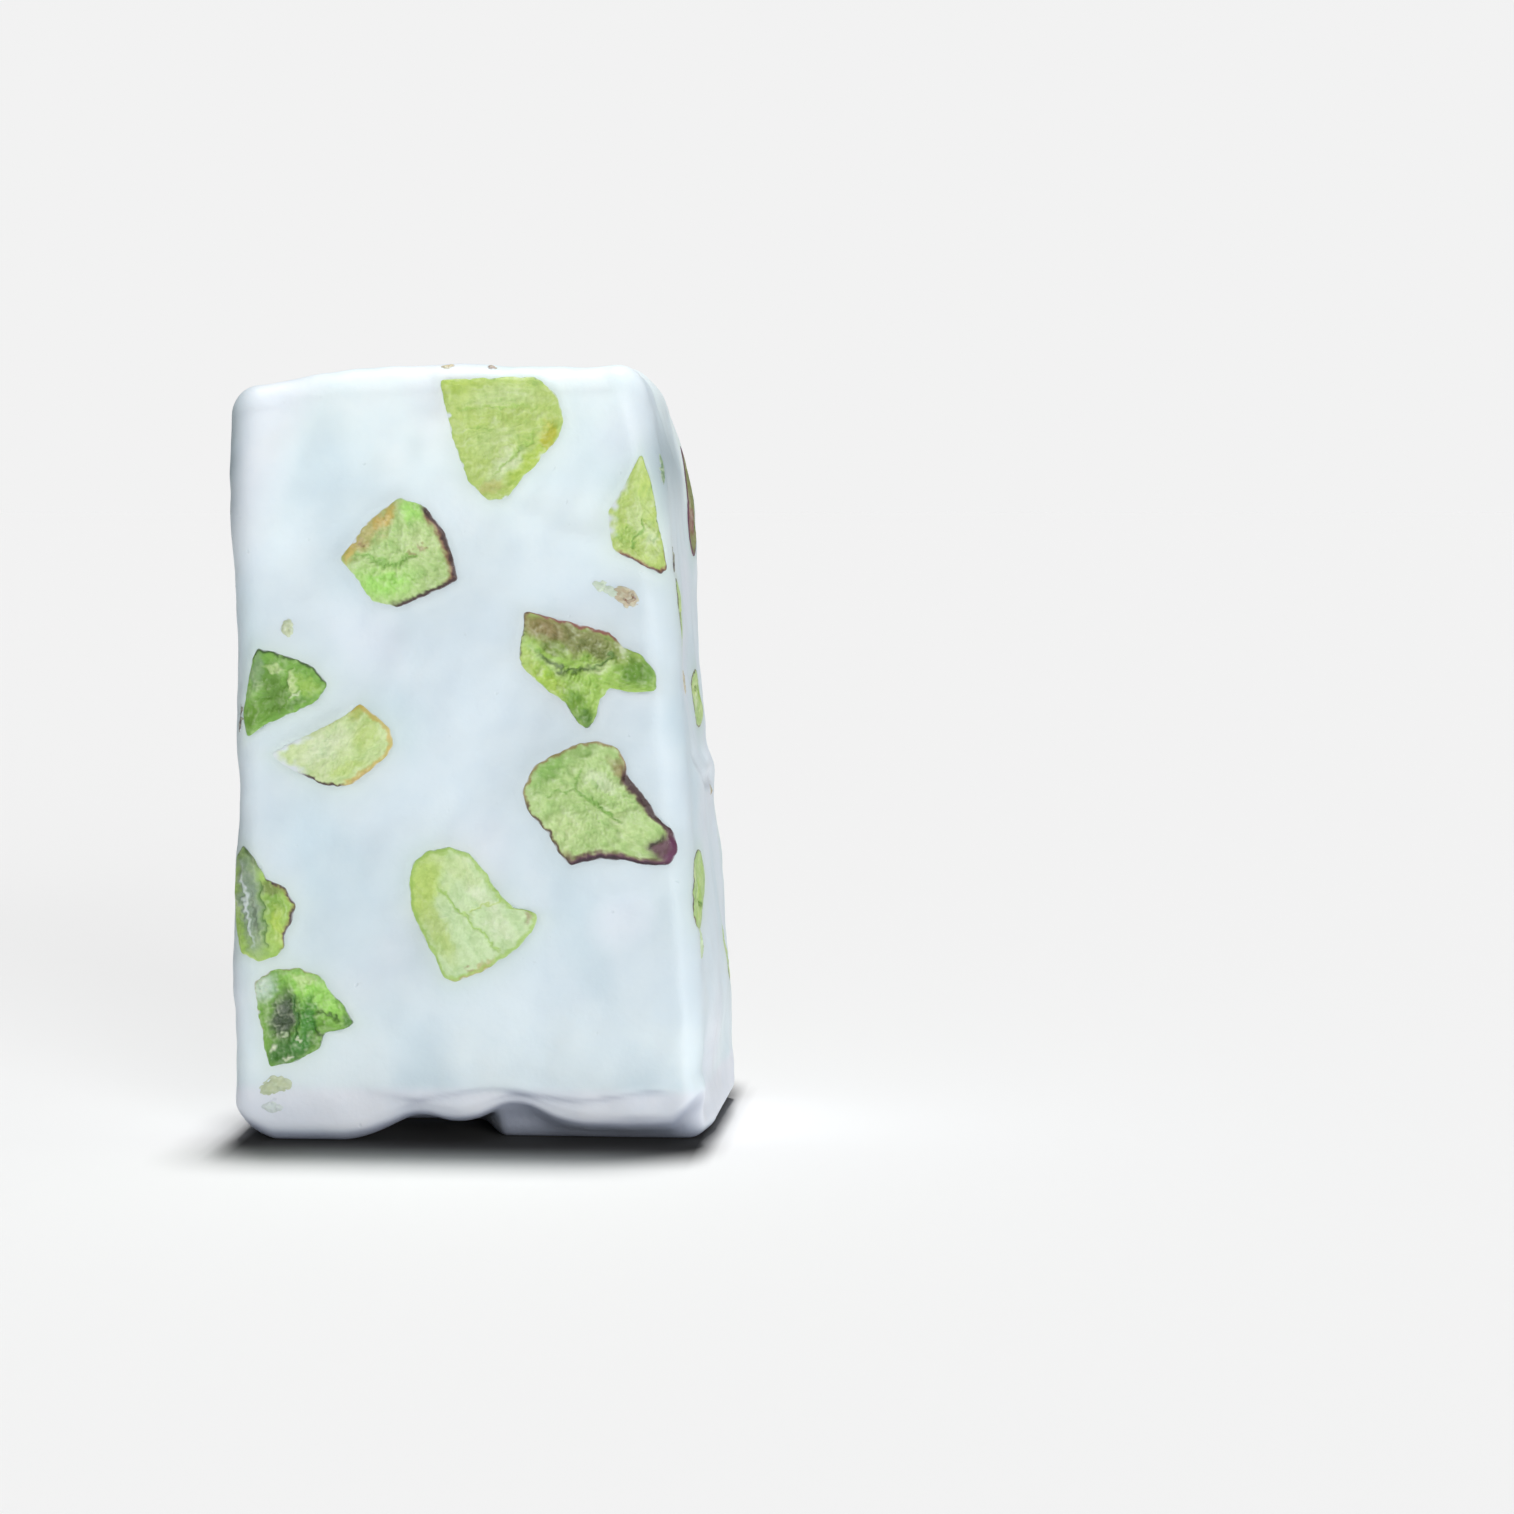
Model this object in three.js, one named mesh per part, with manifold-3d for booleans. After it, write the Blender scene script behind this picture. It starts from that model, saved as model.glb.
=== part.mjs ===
// A hand-cut bar of white pistachio nougat, standing on its end.
// Millimetres, +Z up, the front face looks along -Y. The origin is under the middle of the bar.
// The nougat is one soft-edged block. Each broken pistachio kernel is a piece of its own,
// sunk in the block and cut off flush with its skin.
import * as THREE from "three";
import { mergeVertices } from "three/addons/utils/BufferGeometryUtils.js";
import Module from "manifold-3d";

const wasm = await Module();
wasm.setup();

// Driving dimensions of the block.
const barWidth = 32.3; // at the foot
const barDepth = 21;
const barHeight = 52;
const edgeRadius = 2.3; // of the upper edges
const footRadius = 1.5; // the edges grow crisper towards the foot
const widthTaper = 0.117; // share of the width lost from foot to top
const depthTaper = 0.03;
const topLean = -1.9; // the top stands this far to the left, so the left side is plumb
const topFallBack = 1.0; // the top drops towards the back
const topFallLeft = 1.1; // and a little towards its left corner
const topRiseRight = 0.2; // and is highest right of the middle
const shoulderCut = 0.9; // the top right corner is worn rounder than the others
const shelfStep = 0.45; // the lower right side stands out below a fold
const shelfHeight = 24.9;
const footTuck = 0.5; // and draws in again close to the foot
const swellDepth = 0.22; // soft hills and hollows all over
const flatRise = 5; // they fade out this far above the foot, which is flat

// The foot's front edge is lifted off the table right of a lobe, and chipped higher still in two places.
const ledge = { from: -9, to: -3.8, lift: 1.05 };
const chips = [
  { middle: -3.4, half: 2.2, lift: 0.7 },
  { middle: 2.9, half: 2.7, lift: 1.35 },
];
const cornerLift = { left: 1.2, right: 2.4 }; // the ends of the edge are rounded up
const undercut = { left: 5.5, right: -1, slope: 3.4 }; // how far the lift runs back under the bar
const liftRise = 6.5; // and how far up the front face it fades out

// Soft waves: [along x, along y, along z] in radians per millimetre, phase, share.
const waves = [
  [0.29, 0.21, 0.17, 0.6, 0.5],
  [-0.18, 0.34, 0.26, 2.1, 0.35],
  [0.41, -0.16, -0.33, 4.0, 0.3],
];

// Grid of the block: cells along each axis, of which edgeCells at each end turn round the edge.
const cells = [11, 8, 17];
const edgeCells = 2;

// Kernel pieces.
const seatGap = 0.3; // clear space between a kernel piece and its seat in the nougat
const leanReach = 5; // a piece this near to an edge starts to face across the edge
const cornerSharpness = 14; // how crisply the breaks of a cut nut meet its oval
const ovalCorners = 15; // a cut nut's outline is this many straight sides
const outside = 2.2; // how far a piece's blank stands out before it is trimmed to the skin
const depthShare = 0.72; // depth of a piece as a share of its mean radius
const leastDepth = 1.5;
const mostDepth = 2.9;
const innerShare = 0.6; // width of a piece's inner end as a share of its outline
const straightShare = 0.5; // its walls are straight down to this share of its depth

const ramp = (from, to, value) => THREE.MathUtils.smoothstep((value - from) / (to - from), 0, 1);
const hill = (middle, half, value) => Math.exp(-(((value - middle) / half) ** 2));

function footLift(x) {
  const chipped = chips.reduce((sum, { middle, half, lift }) => sum + lift * hill(middle, half, x), 0);
  const ends = cornerLift.left * ramp(-13.3, -16.3, x) + cornerLift.right * ramp(13.8, 16.6, x);
  return ledge.lift * ramp(ledge.from, ledge.to, x) + chipped + ends;
}

// Moves a point of the plain rounded block, z from 0 to barHeight, to its place on the real bar.
function shapeBar(p, outward) {
  const swell = waves.reduce(
    (sum, [kx, ky, kz, phase, share]) => sum + share * Math.sin(kx * p.x + ky * p.y + kz * p.z + phase),
    0,
  );
  p.addScaledVector(outward, swellDepth * swell * ramp(0, flatRise, p.z));
  const rise = p.z / barHeight;
  const left = ramp(-6, -15, p.x);
  const right = ramp(6, 13, p.x);
  const back = footRadius + THREE.MathUtils.lerp(undercut.left, undercut.right, ramp(-1, 2, p.x));
  const atFront = ramp(back + undercut.slope, back, p.y + barDepth / 2);
  const lift = footLift(p.x) * atFront * ramp(liftRise, 0, p.z);
  const fall = topFallBack * (p.y / barDepth + 0.5) + topFallLeft * left - topRiseRight * ramp(0, 8, p.x);
  const shelf = ramp(shelfHeight + 1.2, shelfHeight - 1.2, p.z) * ramp(-8, -3, p.y);
  p.x = p.x * (1 - widthTaper * rise) + topLean * rise;
  p.x += right * (shelfStep * shelf - shoulderCut * ramp(0.84, 1, rise) - footTuck * ramp(9, 3, p.z));
  p.y *= 1 - depthTaper * rise;
  p.z += lift - fall * ramp(0.8, 1, rise);
  return p;
}

const half = new THREE.Vector3(barWidth / 2, barDepth / 2, barHeight / 2);

// Place along one axis of the grid line at share -1 to 1: even on the flat, by equal angles on the edge.
function gridPlace(share, coreHalf, cellCount, radius) {
  const flatShare = 1 - (2 * edgeCells) / cellCount;
  const beyond = Math.abs(share) - flatShare;
  if (beyond <= 1e-6) return (share / flatShare) * coreHalf;
  const angle = (beyond / (1 - flatShare)) * (Math.PI / 4);
  return Math.sign(share) * (coreHalf + radius * Math.tan(angle));
}

// The block is the skin at one radius around an inner core; the radius grows from foot to middle.
function barBlock() {
  const block = new THREE.BoxGeometry(2, 2, 2, ...cells);
  const place = block.getAttribute("position");
  for (let i = 0; i < place.count; i++) {
    const rise = gridPlace(place.getZ(i), half.z - edgeRadius, cells[2], edgeRadius) / half.z;
    const radius = THREE.MathUtils.lerp(footRadius, edgeRadius, ramp(-0.9, 0.3, rise));
    const core = half.clone().subScalar(radius);
    const p = new THREE.Vector3(
      gridPlace(place.getX(i), core.x, cells[0], radius),
      gridPlace(place.getY(i), core.y, cells[1], radius),
      gridPlace(place.getZ(i), core.z, cells[2], radius),
    );
    const { inner, outward } = wayOut(p, radius);
    const onSkin = inner.addScaledVector(outward, radius);
    onSkin.z += barHeight / 2;
    const shaped = shapeBar(onSkin, outward);
    place.setXYZ(i, shaped.x, shaped.y, shaped.z);
  }
  return block;
}

function solidFrom(geometry) {
  const bare = new THREE.BufferGeometry()
    .setAttribute("position", geometry.getAttribute("position"))
    .setIndex(geometry.index);
  const merged = mergeVertices(bare, 1e-4);
  return new wasm.Manifold(
    new wasm.Mesh({
      numProp: 3,
      vertProperties: merged.getAttribute("position").array,
      triVerts: new Uint32Array(merged.index.array),
    }),
  );
}

function geometryFrom(solid) {
  const { vertProperties, triVerts } = solid.getMesh();
  return new THREE.BufferGeometry()
    .setAttribute("position", new THREE.BufferAttribute(new Float32Array(vertProperties), 3))
    .setIndex(new THREE.BufferAttribute(triVerts, 1));
}

// The six faces: which way each looks, and the directions that a place on it is given in.
const X = new THREE.Vector3(1, 0, 0);
const Y = new THREE.Vector3(0, 1, 0);
const Z = new THREE.Vector3(0, 0, 1);
const faces = {
  front: { out: Y.clone().negate(), across: X, up: Z },
  back: { out: Y, across: X, up: Z },
  left: { out: X.clone().negate(), across: Y, up: Z },
  right: { out: X, across: Y, up: Z },
  top: { out: Z, across: X, up: Y },
  foot: { out: Z.clone().negate(), across: X, up: Y },
};

// Kernel pieces, face by face. at: place on the face. corners: the corners of a broken piece, from there.
// kernel: [half length, half width, turn] of the nut that a piece is cut from, with breaks: [direction
// in degrees, distance] of each straight side, with 0 to the right and 90 up.
const pieces = {
  front: [
    {
      at: [2.1, 47.4],
      corners: [
        [-3.1, -0.4], [-2.1, -3.2], [-0.7, -4.5], [0.4, -4.4], [3.9, -0.4], [4.3, 0.6], [3.8, 2.5], [2.3, 3.7],
        [-4, 3.5],
      ],
    },
    {
      at: [-4.6, 39.5],
      corners: [
        [-4, -0.4], [-3.3, -1.1], [-2.8, -1.9], [-1.9, -3.2], [-0.1, -3.6], [1.6, -2.9], [3.9, -1.8], [3.1, 1.3],
        [1.8, 3], [0.1, 3.7], [-2.1, 2.1],
      ],
    },
    {
      at: [11.7, 41.2],
      corners: [
        [-2.4, -0.1], [-1.7, -1.6], [-0.6, -2.2], [1.1, -3.1], [1.8, -2.7], [1.2, 0.1], [0.7, 2.7], [0, 5],
        [-1.2, 2.3],
      ],
    },
    {
      at: [7.5, 32.2],
      corners: [
        [-4, -0.2], [-2.8, -1.4], [-1, -2.7], [-0.4, -3.7], [0.4, -4.4], [1, -3.5], [1.2, -2.4], [1.9, -1.6],
        [3.4, -1.9], [5, -1.8], [5, -0.6], [4.1, 0.6], [2.8, 1.1], [1.9, 2.1], [-0.6, 2.7], [-3.8, 3.5],
        [-3.9, 2], [-4.2, 0.8],
      ],
    },
    {
      at: [8.3, 22.7],
      corners: [
        [-4.5, -0.2], [-3.1, -1.7], [-2.4, -3], [-1.6, -3.9], [0.1, -3.5], [1.9, -3.5], [3.8, -3.9], [5.1, -3.8],
        [5.6, -2.8], [5.3, -1.6], [4.3, -0.7], [3.3, 0.9], [2.4, 1.8], [2.2, 2.8], [1.7, 3.9], [0.3, 4.4],
        [-1.1, 4.2], [-2.7, 3.4], [-3.9, 2.8], [-4.8, 1.1],
      ],
    },
    {
      at: [-12.8, 30.3],
      corners: [
        [-2.6, -1.5], [-2.3, -3.2], [-0.9, -2.2], [0.8, -1.5], [2.6, -0.6], [3.3, 0.5], [2.4, 1.6], [0.6, 2.4],
        [-1.4, 2.9], [-2.1, 0.9],
      ],
    },
    {
      at: [-8.8, 26.6],
      corners: [
        [-4.6, -0.5], [-3.7, -1.3], [-1.4, -2.4], [0, -2.7], [1.1, -2.4], [3.3, -0.6], [3.8, 0.2], [3.5, 1.3],
        [2.6, 2.2], [1.5, 2.9], [0.5, 2.1], [-1.4, 1.1], [-3.3, 0.2],
      ],
    },
    {
      at: [-0.4, 15.6],
      corners: [
        [-2.8, -1.4], [-1.9, -2.9], [-1.4, -4.2], [-0.5, -4.6], [1.1, -4], [2.7, -3], [4.1, -1.9], [5, -0.5],
        [4.8, 0.2], [3.4, 0.3], [2.4, 1.3], [1.5, 2.7], [0.4, 4], [-1, 4.4], [-2.3, 4.2], [-3.4, 3.3],
        [-3.7, 1.9], [-3.5, 0.1],
      ],
    },
    {
      at: [-13.9, 15.9],
      corners: [
        [-2.3, -1], [-1.4, -3.1], [-0.2, -3.7], [0.7, -3.4], [1.2, -2.8], [1.1, -2], [1.5, -1], [1.7, 0.1],
        [1.1, 1.3], [0.1, 1.8], [-0.7, 3.3], [-1.6, 4.1], [-2.5, 3.1], [-2.7, 0.9],
      ],
    },
    {
      at: [-11.5, 8.6],
      corners: [
        [-2.5, -1.8], [-2.1, -3.5], [-0.2, -3.1], [1.3, -2.2], [1.7, -1.2], [3, -0.9], [3.7, -0.5], [2.9, 0.7],
        [1.9, 1.7], [1.4, 2.6], [-0.2, 3.2], [-2, 3], [-3, 2.2], [-2.8, 0.1],
      ],
    },
  ],
  right: [
    { at: [5.8, 42.9], kernel: [4.7, 1.5, 87], breaks: [[-85, 4.2]] },
    { at: [-6.8, 35.5], kernel: [2.8, 1.4, 100], breaks: [[95, 2.4]] },
    { at: [-7.4, 16.9], kernel: [2.9, 1.7, 70], breaks: [[-45, 1.7]] },
    { at: [3.4, 29.2], kernel: [3.1, 1.9, 24], breaks: [[20, 2.1], [-70, 1.5]] },
    { at: [4.4, 11.2], kernel: [2.9, 1.6, 128], breaks: [[-50, 2.2]] },
  ],
  left: [
    { at: [1.8, 44.0], kernel: [4.8, 3.0, 40], breaks: [[40, 3.1], [-60, 2.4]] },
    { at: [-1.4, 23.4], kernel: [4.4, 2.4, 105], breaks: [[100, 3.2]] },
    { at: [4.6, 33.6], kernel: [4.2, 1.7, 72], breaks: [[-100, 2.8]] },
    { at: [3.6, 9.4], kernel: [4.6, 2.8, 150], breaks: [[-30, 2.8], [80, 2.3]] },
  ],
  back: [
    { at: [-9.0, 44.4], kernel: [5.0, 3.8, 20], breaks: [[20, 3.4], [-80, 3.0]] },
    { at: [4.4, 45.2], kernel: [4.8, 2.7, 140], breaks: [[-40, 3.4], [70, 2.3]] },
    { at: [-2.6, 35.6], kernel: [5.4, 4.0, 75], breaks: [[75, 3.2], [-20, 3.0], [-120, 3.4]] },
    { at: [8.4, 34.6], kernel: [4.6, 3.1, 110], breaks: [[-70, 2.7]] },
    { at: [3.4, 24.2], kernel: [5.8, 3.6, 165], breaks: [[-15, 4.2], [90, 2.7]] },
    { at: [-9.4, 23.0], kernel: [5.0, 3.8, 50], breaks: [[50, 3.4], [-40, 3.0], [180, 3.2]] },
    { at: [12.0, 16.4], kernel: [4.4, 2.3, 65], breaks: [[-110, 2.9]] },
    { at: [2.0, 10.2], kernel: [5.1, 3.5, 15], breaks: [[190, 3.2], [-70, 2.7]] },
    { at: [-10.8, 8.4], kernel: [4.2, 3.0, 130], breaks: [[-50, 2.6]] },
  ],
  top: [
    { at: [-10.2, 3.0], kernel: [4.6, 2.5, 25], breaks: [[25, 3.1]] },
    { at: [-3.4, -3.6], kernel: [5.4, 1.8, 10], breaks: [[190, 4.0]] },
    { at: [6.4, 2.2], kernel: [4.8, 3.2, 115], breaks: [[-65, 3.1], [40, 2.7]] },
  ],
  foot: [
    { at: [-8.6, 2.4], kernel: [4.8, 2.7, 35], breaks: [[35, 3.1]] },
    { at: [8.4, 3.4], kernel: [4.4, 3.1, 120], breaks: [[-60, 2.9], [60, 2.5]] },
  ],
};

// Radius of a cut nut's outline at an angle: the nearer of its oval and its breaks, joined by a power
// mean so that corners come out a little soft.
function outlineRadius({ kernel: [halfLength, halfWidth, turn], breaks }, angle) {
  const turnedBy = (degrees) => angle - THREE.MathUtils.degToRad(degrees);
  const oval = Math.hypot(Math.cos(turnedBy(turn)) / halfLength, Math.sin(turnedBy(turn)) / halfWidth);
  const sides = breaks.map(([way, distance]) => Math.max(0, Math.cos(turnedBy(way))) / distance);
  const sum = [oval, ...sides].reduce((total, nearness) => total + nearness ** cornerSharpness, 0);
  return sum ** (-1 / cornerSharpness);
}

// Corners of a piece's outline, in order round it, grown by a margin on every side.
function outline(piece, margin) {
  if (piece.kernel) {
    return Array.from({ length: ovalCorners }, (_, i) => {
      const angle = (2 * Math.PI * i) / ovalCorners;
      const corner = new THREE.Vector2(outlineRadius(piece, angle) + margin, 0);
      return corner.rotateAround(new THREE.Vector2(), angle);
    });
  }
  const corners = piece.corners.map(([x, y]) => new THREE.Vector2(x, y));
  const outOf = (from, to) => new THREE.Vector2(to.y - from.y, from.x - to.x).normalize();
  return corners.map((corner, i) => {
    const before = outOf(corners.at(i - 1), corner);
    const after = outOf(corner, corners[(i + 1) % corners.length]);
    const reach = margin / (1 + before.dot(after));
    return corner.clone().addScaledVector(before, reach).addScaledVector(after, reach);
  });
}

// The blank of a piece: its outline as a plug along its own axis, narrower with depth, and grown
// by a margin on every side.
function plug(piece, margin) {
  const corners = outline(piece, margin);
  const meanRadius = corners.reduce((total, corner) => total + corner.length(), 0) / corners.length;
  const depth = THREE.MathUtils.clamp(depthShare * meanRadius, leastDepth, mostDepth) + margin;
  const profile = [
    [0, -depth],
    [innerShare, -depth],
    [1, -straightShare * depth],
    [1, outside],
    [0, outside],
  ].map(([share, height]) => new THREE.Vector2(share, height));
  const blank = new THREE.LatheGeometry(profile, corners.length);
  const place = blank.getAttribute("position");
  for (let i = 0; i < place.count; i++) {
    const share = Math.hypot(place.getX(i), place.getZ(i));
    const turn = Math.atan2(place.getX(i), place.getZ(i)) / (2 * Math.PI);
    const corner = corners.at(Math.round(turn * corners.length) % corners.length);
    place.setXYZ(i, share * corner.x, share * corner.y, place.getY(i));
  }
  return blank;
}

// The way out of the plain block at a place on it, if its edges had this radius.
function wayOut(place, radius) {
  const core = half.clone().subScalar(radius);
  const inner = place.clone().clamp(core.clone().negate(), core);
  return { inner, outward: place.clone().sub(inner).normalize() };
}

// Stands a blank on the skin of the bar at the piece's place, facing outwards there.
function seat(blank, face, [across, up]) {
  const { out, across: acrossWay, up: upWay } = faces[face];
  const wanted = new THREE.Vector3().addScaledVector(acrossWay, across).addScaledVector(upWay, up);
  const rise = out.z === 0 ? wanted.z / barHeight : (1 + out.z) / 2;
  const plain = new THREE.Vector3(
    (wanted.x - topLean * rise) / (1 - widthTaper * rise),
    wanted.y / (1 - depthTaper * rise),
    (rise - 0.5) * barHeight,
  );
  plain.addScaledVector(out, Math.abs(out.dot(half)) - plain.dot(out));
  const { inner, outward } = wayOut(plain, edgeRadius);
  const onSkin = inner.addScaledVector(outward, edgeRadius);
  onSkin.z += barHeight / 2;
  const centre = shapeBar(onSkin, outward);
  const facing = wayOut(plain, leanReach).outward;
  const upLocal = upWay.clone().addScaledVector(facing, -upWay.dot(facing)).normalize();
  const acrossLocal = upLocal.clone().cross(facing);
  if (acrossLocal.dot(acrossWay) < 0) acrossLocal.negate();
  const frame = new THREE.Matrix4().makeBasis(acrossLocal, upLocal, facing).setPosition(centre);
  blank.applyMatrix4(frame);
  if (frame.determinant() < 0) {
    const order = blank.index.array;
    for (let i = 0; i < order.length; i += 3) [order[i + 1], order[i + 2]] = [order[i + 2], order[i + 1]];
  }
  return blank;
}

const bar = new THREE.Group();
const block = solidFrom(barBlock());
const { min, max } = block.boundingBox();
bar.position.set(-(min[0] + max[0]) / 2, -(min[1] + max[1]) / 2, -min[2]);

const nougatLook = new THREE.MeshStandardMaterial({ color: 0xdfe9f0, roughness: 0.45, metalness: 0 });
const kernelLook = new THREE.MeshStandardMaterial({ color: 0xb4cf86, roughness: 0.4, metalness: 0 });

function addMesh(name, solid, look) {
  const mesh = new THREE.Mesh(geometryFrom(solid), look);
  mesh.name = name;
  bar.add(mesh);
}

let nougat = block;
for (const [face, list] of Object.entries(pieces)) {
  list.forEach((piece, i) => {
    const kernel = solidFrom(seat(plug(piece, 0), face, piece.at)).intersect(block);
    const pocket = solidFrom(seat(plug(piece, seatGap), face, piece.at));
    nougat = nougat.subtract(pocket);
    addMesh(`pistachio_${face}_${i + 1}`, kernel, kernelLook);
  });
}
addMesh("nougat", nougat, nougatLook);

export default bar;
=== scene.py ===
from math import cos, pi, radians, sin

import bpy
import numpy as np
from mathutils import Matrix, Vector


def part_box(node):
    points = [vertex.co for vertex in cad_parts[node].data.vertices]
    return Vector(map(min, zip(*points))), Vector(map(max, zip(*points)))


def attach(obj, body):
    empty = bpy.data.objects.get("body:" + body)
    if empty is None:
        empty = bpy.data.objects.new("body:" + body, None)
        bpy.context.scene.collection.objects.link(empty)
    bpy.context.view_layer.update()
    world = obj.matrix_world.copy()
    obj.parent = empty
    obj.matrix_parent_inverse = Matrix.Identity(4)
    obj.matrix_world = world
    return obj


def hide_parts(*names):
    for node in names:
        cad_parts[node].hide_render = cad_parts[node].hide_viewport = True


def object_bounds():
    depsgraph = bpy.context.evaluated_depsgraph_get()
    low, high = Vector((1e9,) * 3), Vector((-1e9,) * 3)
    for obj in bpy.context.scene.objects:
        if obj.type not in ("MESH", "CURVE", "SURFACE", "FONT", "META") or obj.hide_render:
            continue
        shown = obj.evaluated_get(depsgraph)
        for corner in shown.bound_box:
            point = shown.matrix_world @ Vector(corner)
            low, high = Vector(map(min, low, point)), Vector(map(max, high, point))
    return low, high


# White pistachio nougat, cut by hand and stood on its end.
# Shapes are worked out in millimetres and written to the meshes in metres.

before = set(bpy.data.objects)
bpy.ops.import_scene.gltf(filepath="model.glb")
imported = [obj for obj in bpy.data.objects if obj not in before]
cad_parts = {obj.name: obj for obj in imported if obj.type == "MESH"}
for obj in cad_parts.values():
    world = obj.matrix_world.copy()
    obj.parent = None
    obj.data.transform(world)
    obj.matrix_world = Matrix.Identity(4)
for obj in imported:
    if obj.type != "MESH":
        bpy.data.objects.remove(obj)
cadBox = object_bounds()
mm = 0.001
scene = bpy.context.scene


def smooth(start, end, value):  # 0 at start, 1 at end, soft at both
    t = np.clip((value - start) / (end - start), 0, 1)
    return t * t * (3 - 2 * t)


def hill(middle, half, value):  # a bell of height 1
    return np.exp(-(((value - middle) / half) ** 2))


def lerp(a, b, share):
    return a + (b - a) * share


def unit(vectors):
    return vectors / np.linalg.norm(vectors, axis=-1, keepdims=True)


def ripples(points, size, seed, count=26):
    # a sum of sine waves that run in random directions, each about one size long; the spread is about 1
    dice = np.random.default_rng(seed)
    heading = unit(dice.normal(size=(count, points.shape[-1])))
    rate = 2 * pi / (size * dice.uniform(0.7, 1.6, count))
    phase = dice.uniform(0, 2 * pi, count)
    return np.sin(points @ (heading * rate[:, None]).T + phase).sum(-1) * (2 / count) ** 0.5


def linear(*colour):  # from 0 to 255 as a screen shows it to 0 to 1 as light
    share = np.array(colour) / 255
    return np.where(share <= 0.04045, share / 12.92, ((share + 0.055) / 1.055) ** 2.4)


def newMesh(name, points, faces, smoothShaded=True):
    mesh = bpy.data.meshes.new(name)
    mesh.from_pydata((points * mm).tolist(), [], [list(f) for f in faces])
    mesh.polygons.foreach_set("use_smooth", np.full(len(mesh.polygons), smoothShaded))
    mesh.update()
    thing = bpy.data.objects.new(name, mesh)
    scene.collection.objects.link(thing)
    return thing


def meshPoints(mesh):
    points = np.empty(len(mesh.vertices) * 3, np.float32)
    mesh.vertices.foreach_get("co", points)
    return points.reshape(-1, 3).astype(float) / mm


def setPoints(mesh, points):
    mesh.vertices.foreach_set("co", (points * mm).astype(np.float32).ravel())
    mesh.update()


def setValue(mesh, name, values):
    mesh.attributes.new(name, "FLOAT", "POINT").data.foreach_set("value", values.astype(np.float32))


def setColour(mesh, name, colours):
    whole = np.concatenate([colours, np.ones((len(colours), 1))], axis=1).astype(np.float32)
    mesh.attributes.new(name, "FLOAT_COLOR", "POINT").data.foreach_set("color", whole.ravel())


class Wire:
    # an output socket; arithmetic on it adds Math nodes
    def __init__(self, graph, socket):
        self.graph, self.socket = graph, socket

    def maths(self, operation, first, second):
        return self.graph.add("ShaderNodeMath", {"operation": operation}, {0: first, 1: second})

    def __add__(self, other):
        return self.maths("ADD", self, other)

    def __sub__(self, other):
        return self.maths("SUBTRACT", self, other)

    def __rsub__(self, other):
        return self.maths("SUBTRACT", other, self)

    def __mul__(self, other):
        return self.maths("MULTIPLY", self, other)

    __radd__, __rmul__ = __add__, __mul__

    def ramp(self, low, high):  # 0 at low, 1 at high
        inputs = {"Value": self, "From Min": low, "From Max": high}
        return self.graph.add("ShaderNodeMapRange", {"interpolation_type": "SMOOTHSTEP"}, inputs)


class Graph:
    def __init__(self, name):
        self.material = bpy.data.materials.new(name)
        self.material.use_nodes = True
        self.nodes, self.links = self.material.node_tree.nodes, self.material.node_tree.links
        self.shader = self.nodes["Principled BSDF"]

    def add(self, kind, settings, inputs, output=0):
        node = self.nodes.new(kind)
        for setting, value in settings.items():
            setattr(node, setting, value)
        for socket, value in inputs.items():
            self.feed(node.inputs[socket], value)
        return Wire(self, node.outputs[output])

    def feed(self, socket, value):
        if isinstance(value, Wire):
            self.links.new(value.socket, socket)
        elif hasattr(value, "__len__") and len(value) == 3 and socket.type == "RGBA":
            socket.default_value = (*value, 1)
        else:
            socket.default_value = value

    def mix(self, share, under, over, blend="MIX"):
        settings = {"data_type": "RGBA", "blend_type": blend}
        return self.add("ShaderNodeMix", settings, {0: share, 6: under, 7: over}, output=2)

    def painted(self, name, output="Fac"):  # what numpy has painted on the points
        return self.add("ShaderNodeAttribute", {"attribute_name": name}, {}, output)

    def noise(self, size, detail=2.0, roughness=0.5):  # size in millimetres
        place = self.add("ShaderNodeTexCoord", {}, {}, "Object")
        inputs = {"Vector": place, "Scale": 1 / (size * mm), "Detail": detail, "Roughness": roughness}
        return self.add("ShaderNodeTexNoise", {}, inputs)

    def bump(self, height, strength, distance):  # distance in millimetres
        inputs = {"Height": height, "Strength": strength, "Distance": distance * mm}
        return self.add("ShaderNodeBump", {}, inputs)

    def finish(self, fed, fixed):
        for name, value in {**fed, **fixed}.items():
            self.feed(self.shader.inputs[name], value)
        return self.material


view = dict(
    lens=85.0,
    sensor=36.0,
    clip=(0.01, 100.0),  # nearest and farthest, in metres
    distance=237.0,  # to the front face
    azimuth=4.3,
    elevation=4.0,
    aimRight=19.25,  # the bar stands left of the middle of the view
    aimUp=26.0,
)

light = dict(
    backdrop=0.888,  # what the camera sees around the bar
    dome=0.15,  # how bright the same sky lights the bar
    floor=0.836,
    paintedShadow=dict(  # painted shadow: the floor's grey is deepened round the foot as a soft contact shadow
        halfWidth=15.0,
        halfDepth=10.2,
        full=0.5,  # it is full up to this far from the foot, and ends at its reach
        reach=9.5,
        sideways=4.0,  # it dies this many times faster at the sides
        strength=0.9,
        patch=40.0,  # half width of the floor's fine middle
        cell=0.8,
        horizon=30000.0,
    ),
    suns=[  # azimuth, elevation, strength, angle across
        (178.0, 80.0, 2.65, 10.0),
        (28.0, 6.0, 2.15, 30.0),
    ],
)


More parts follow.
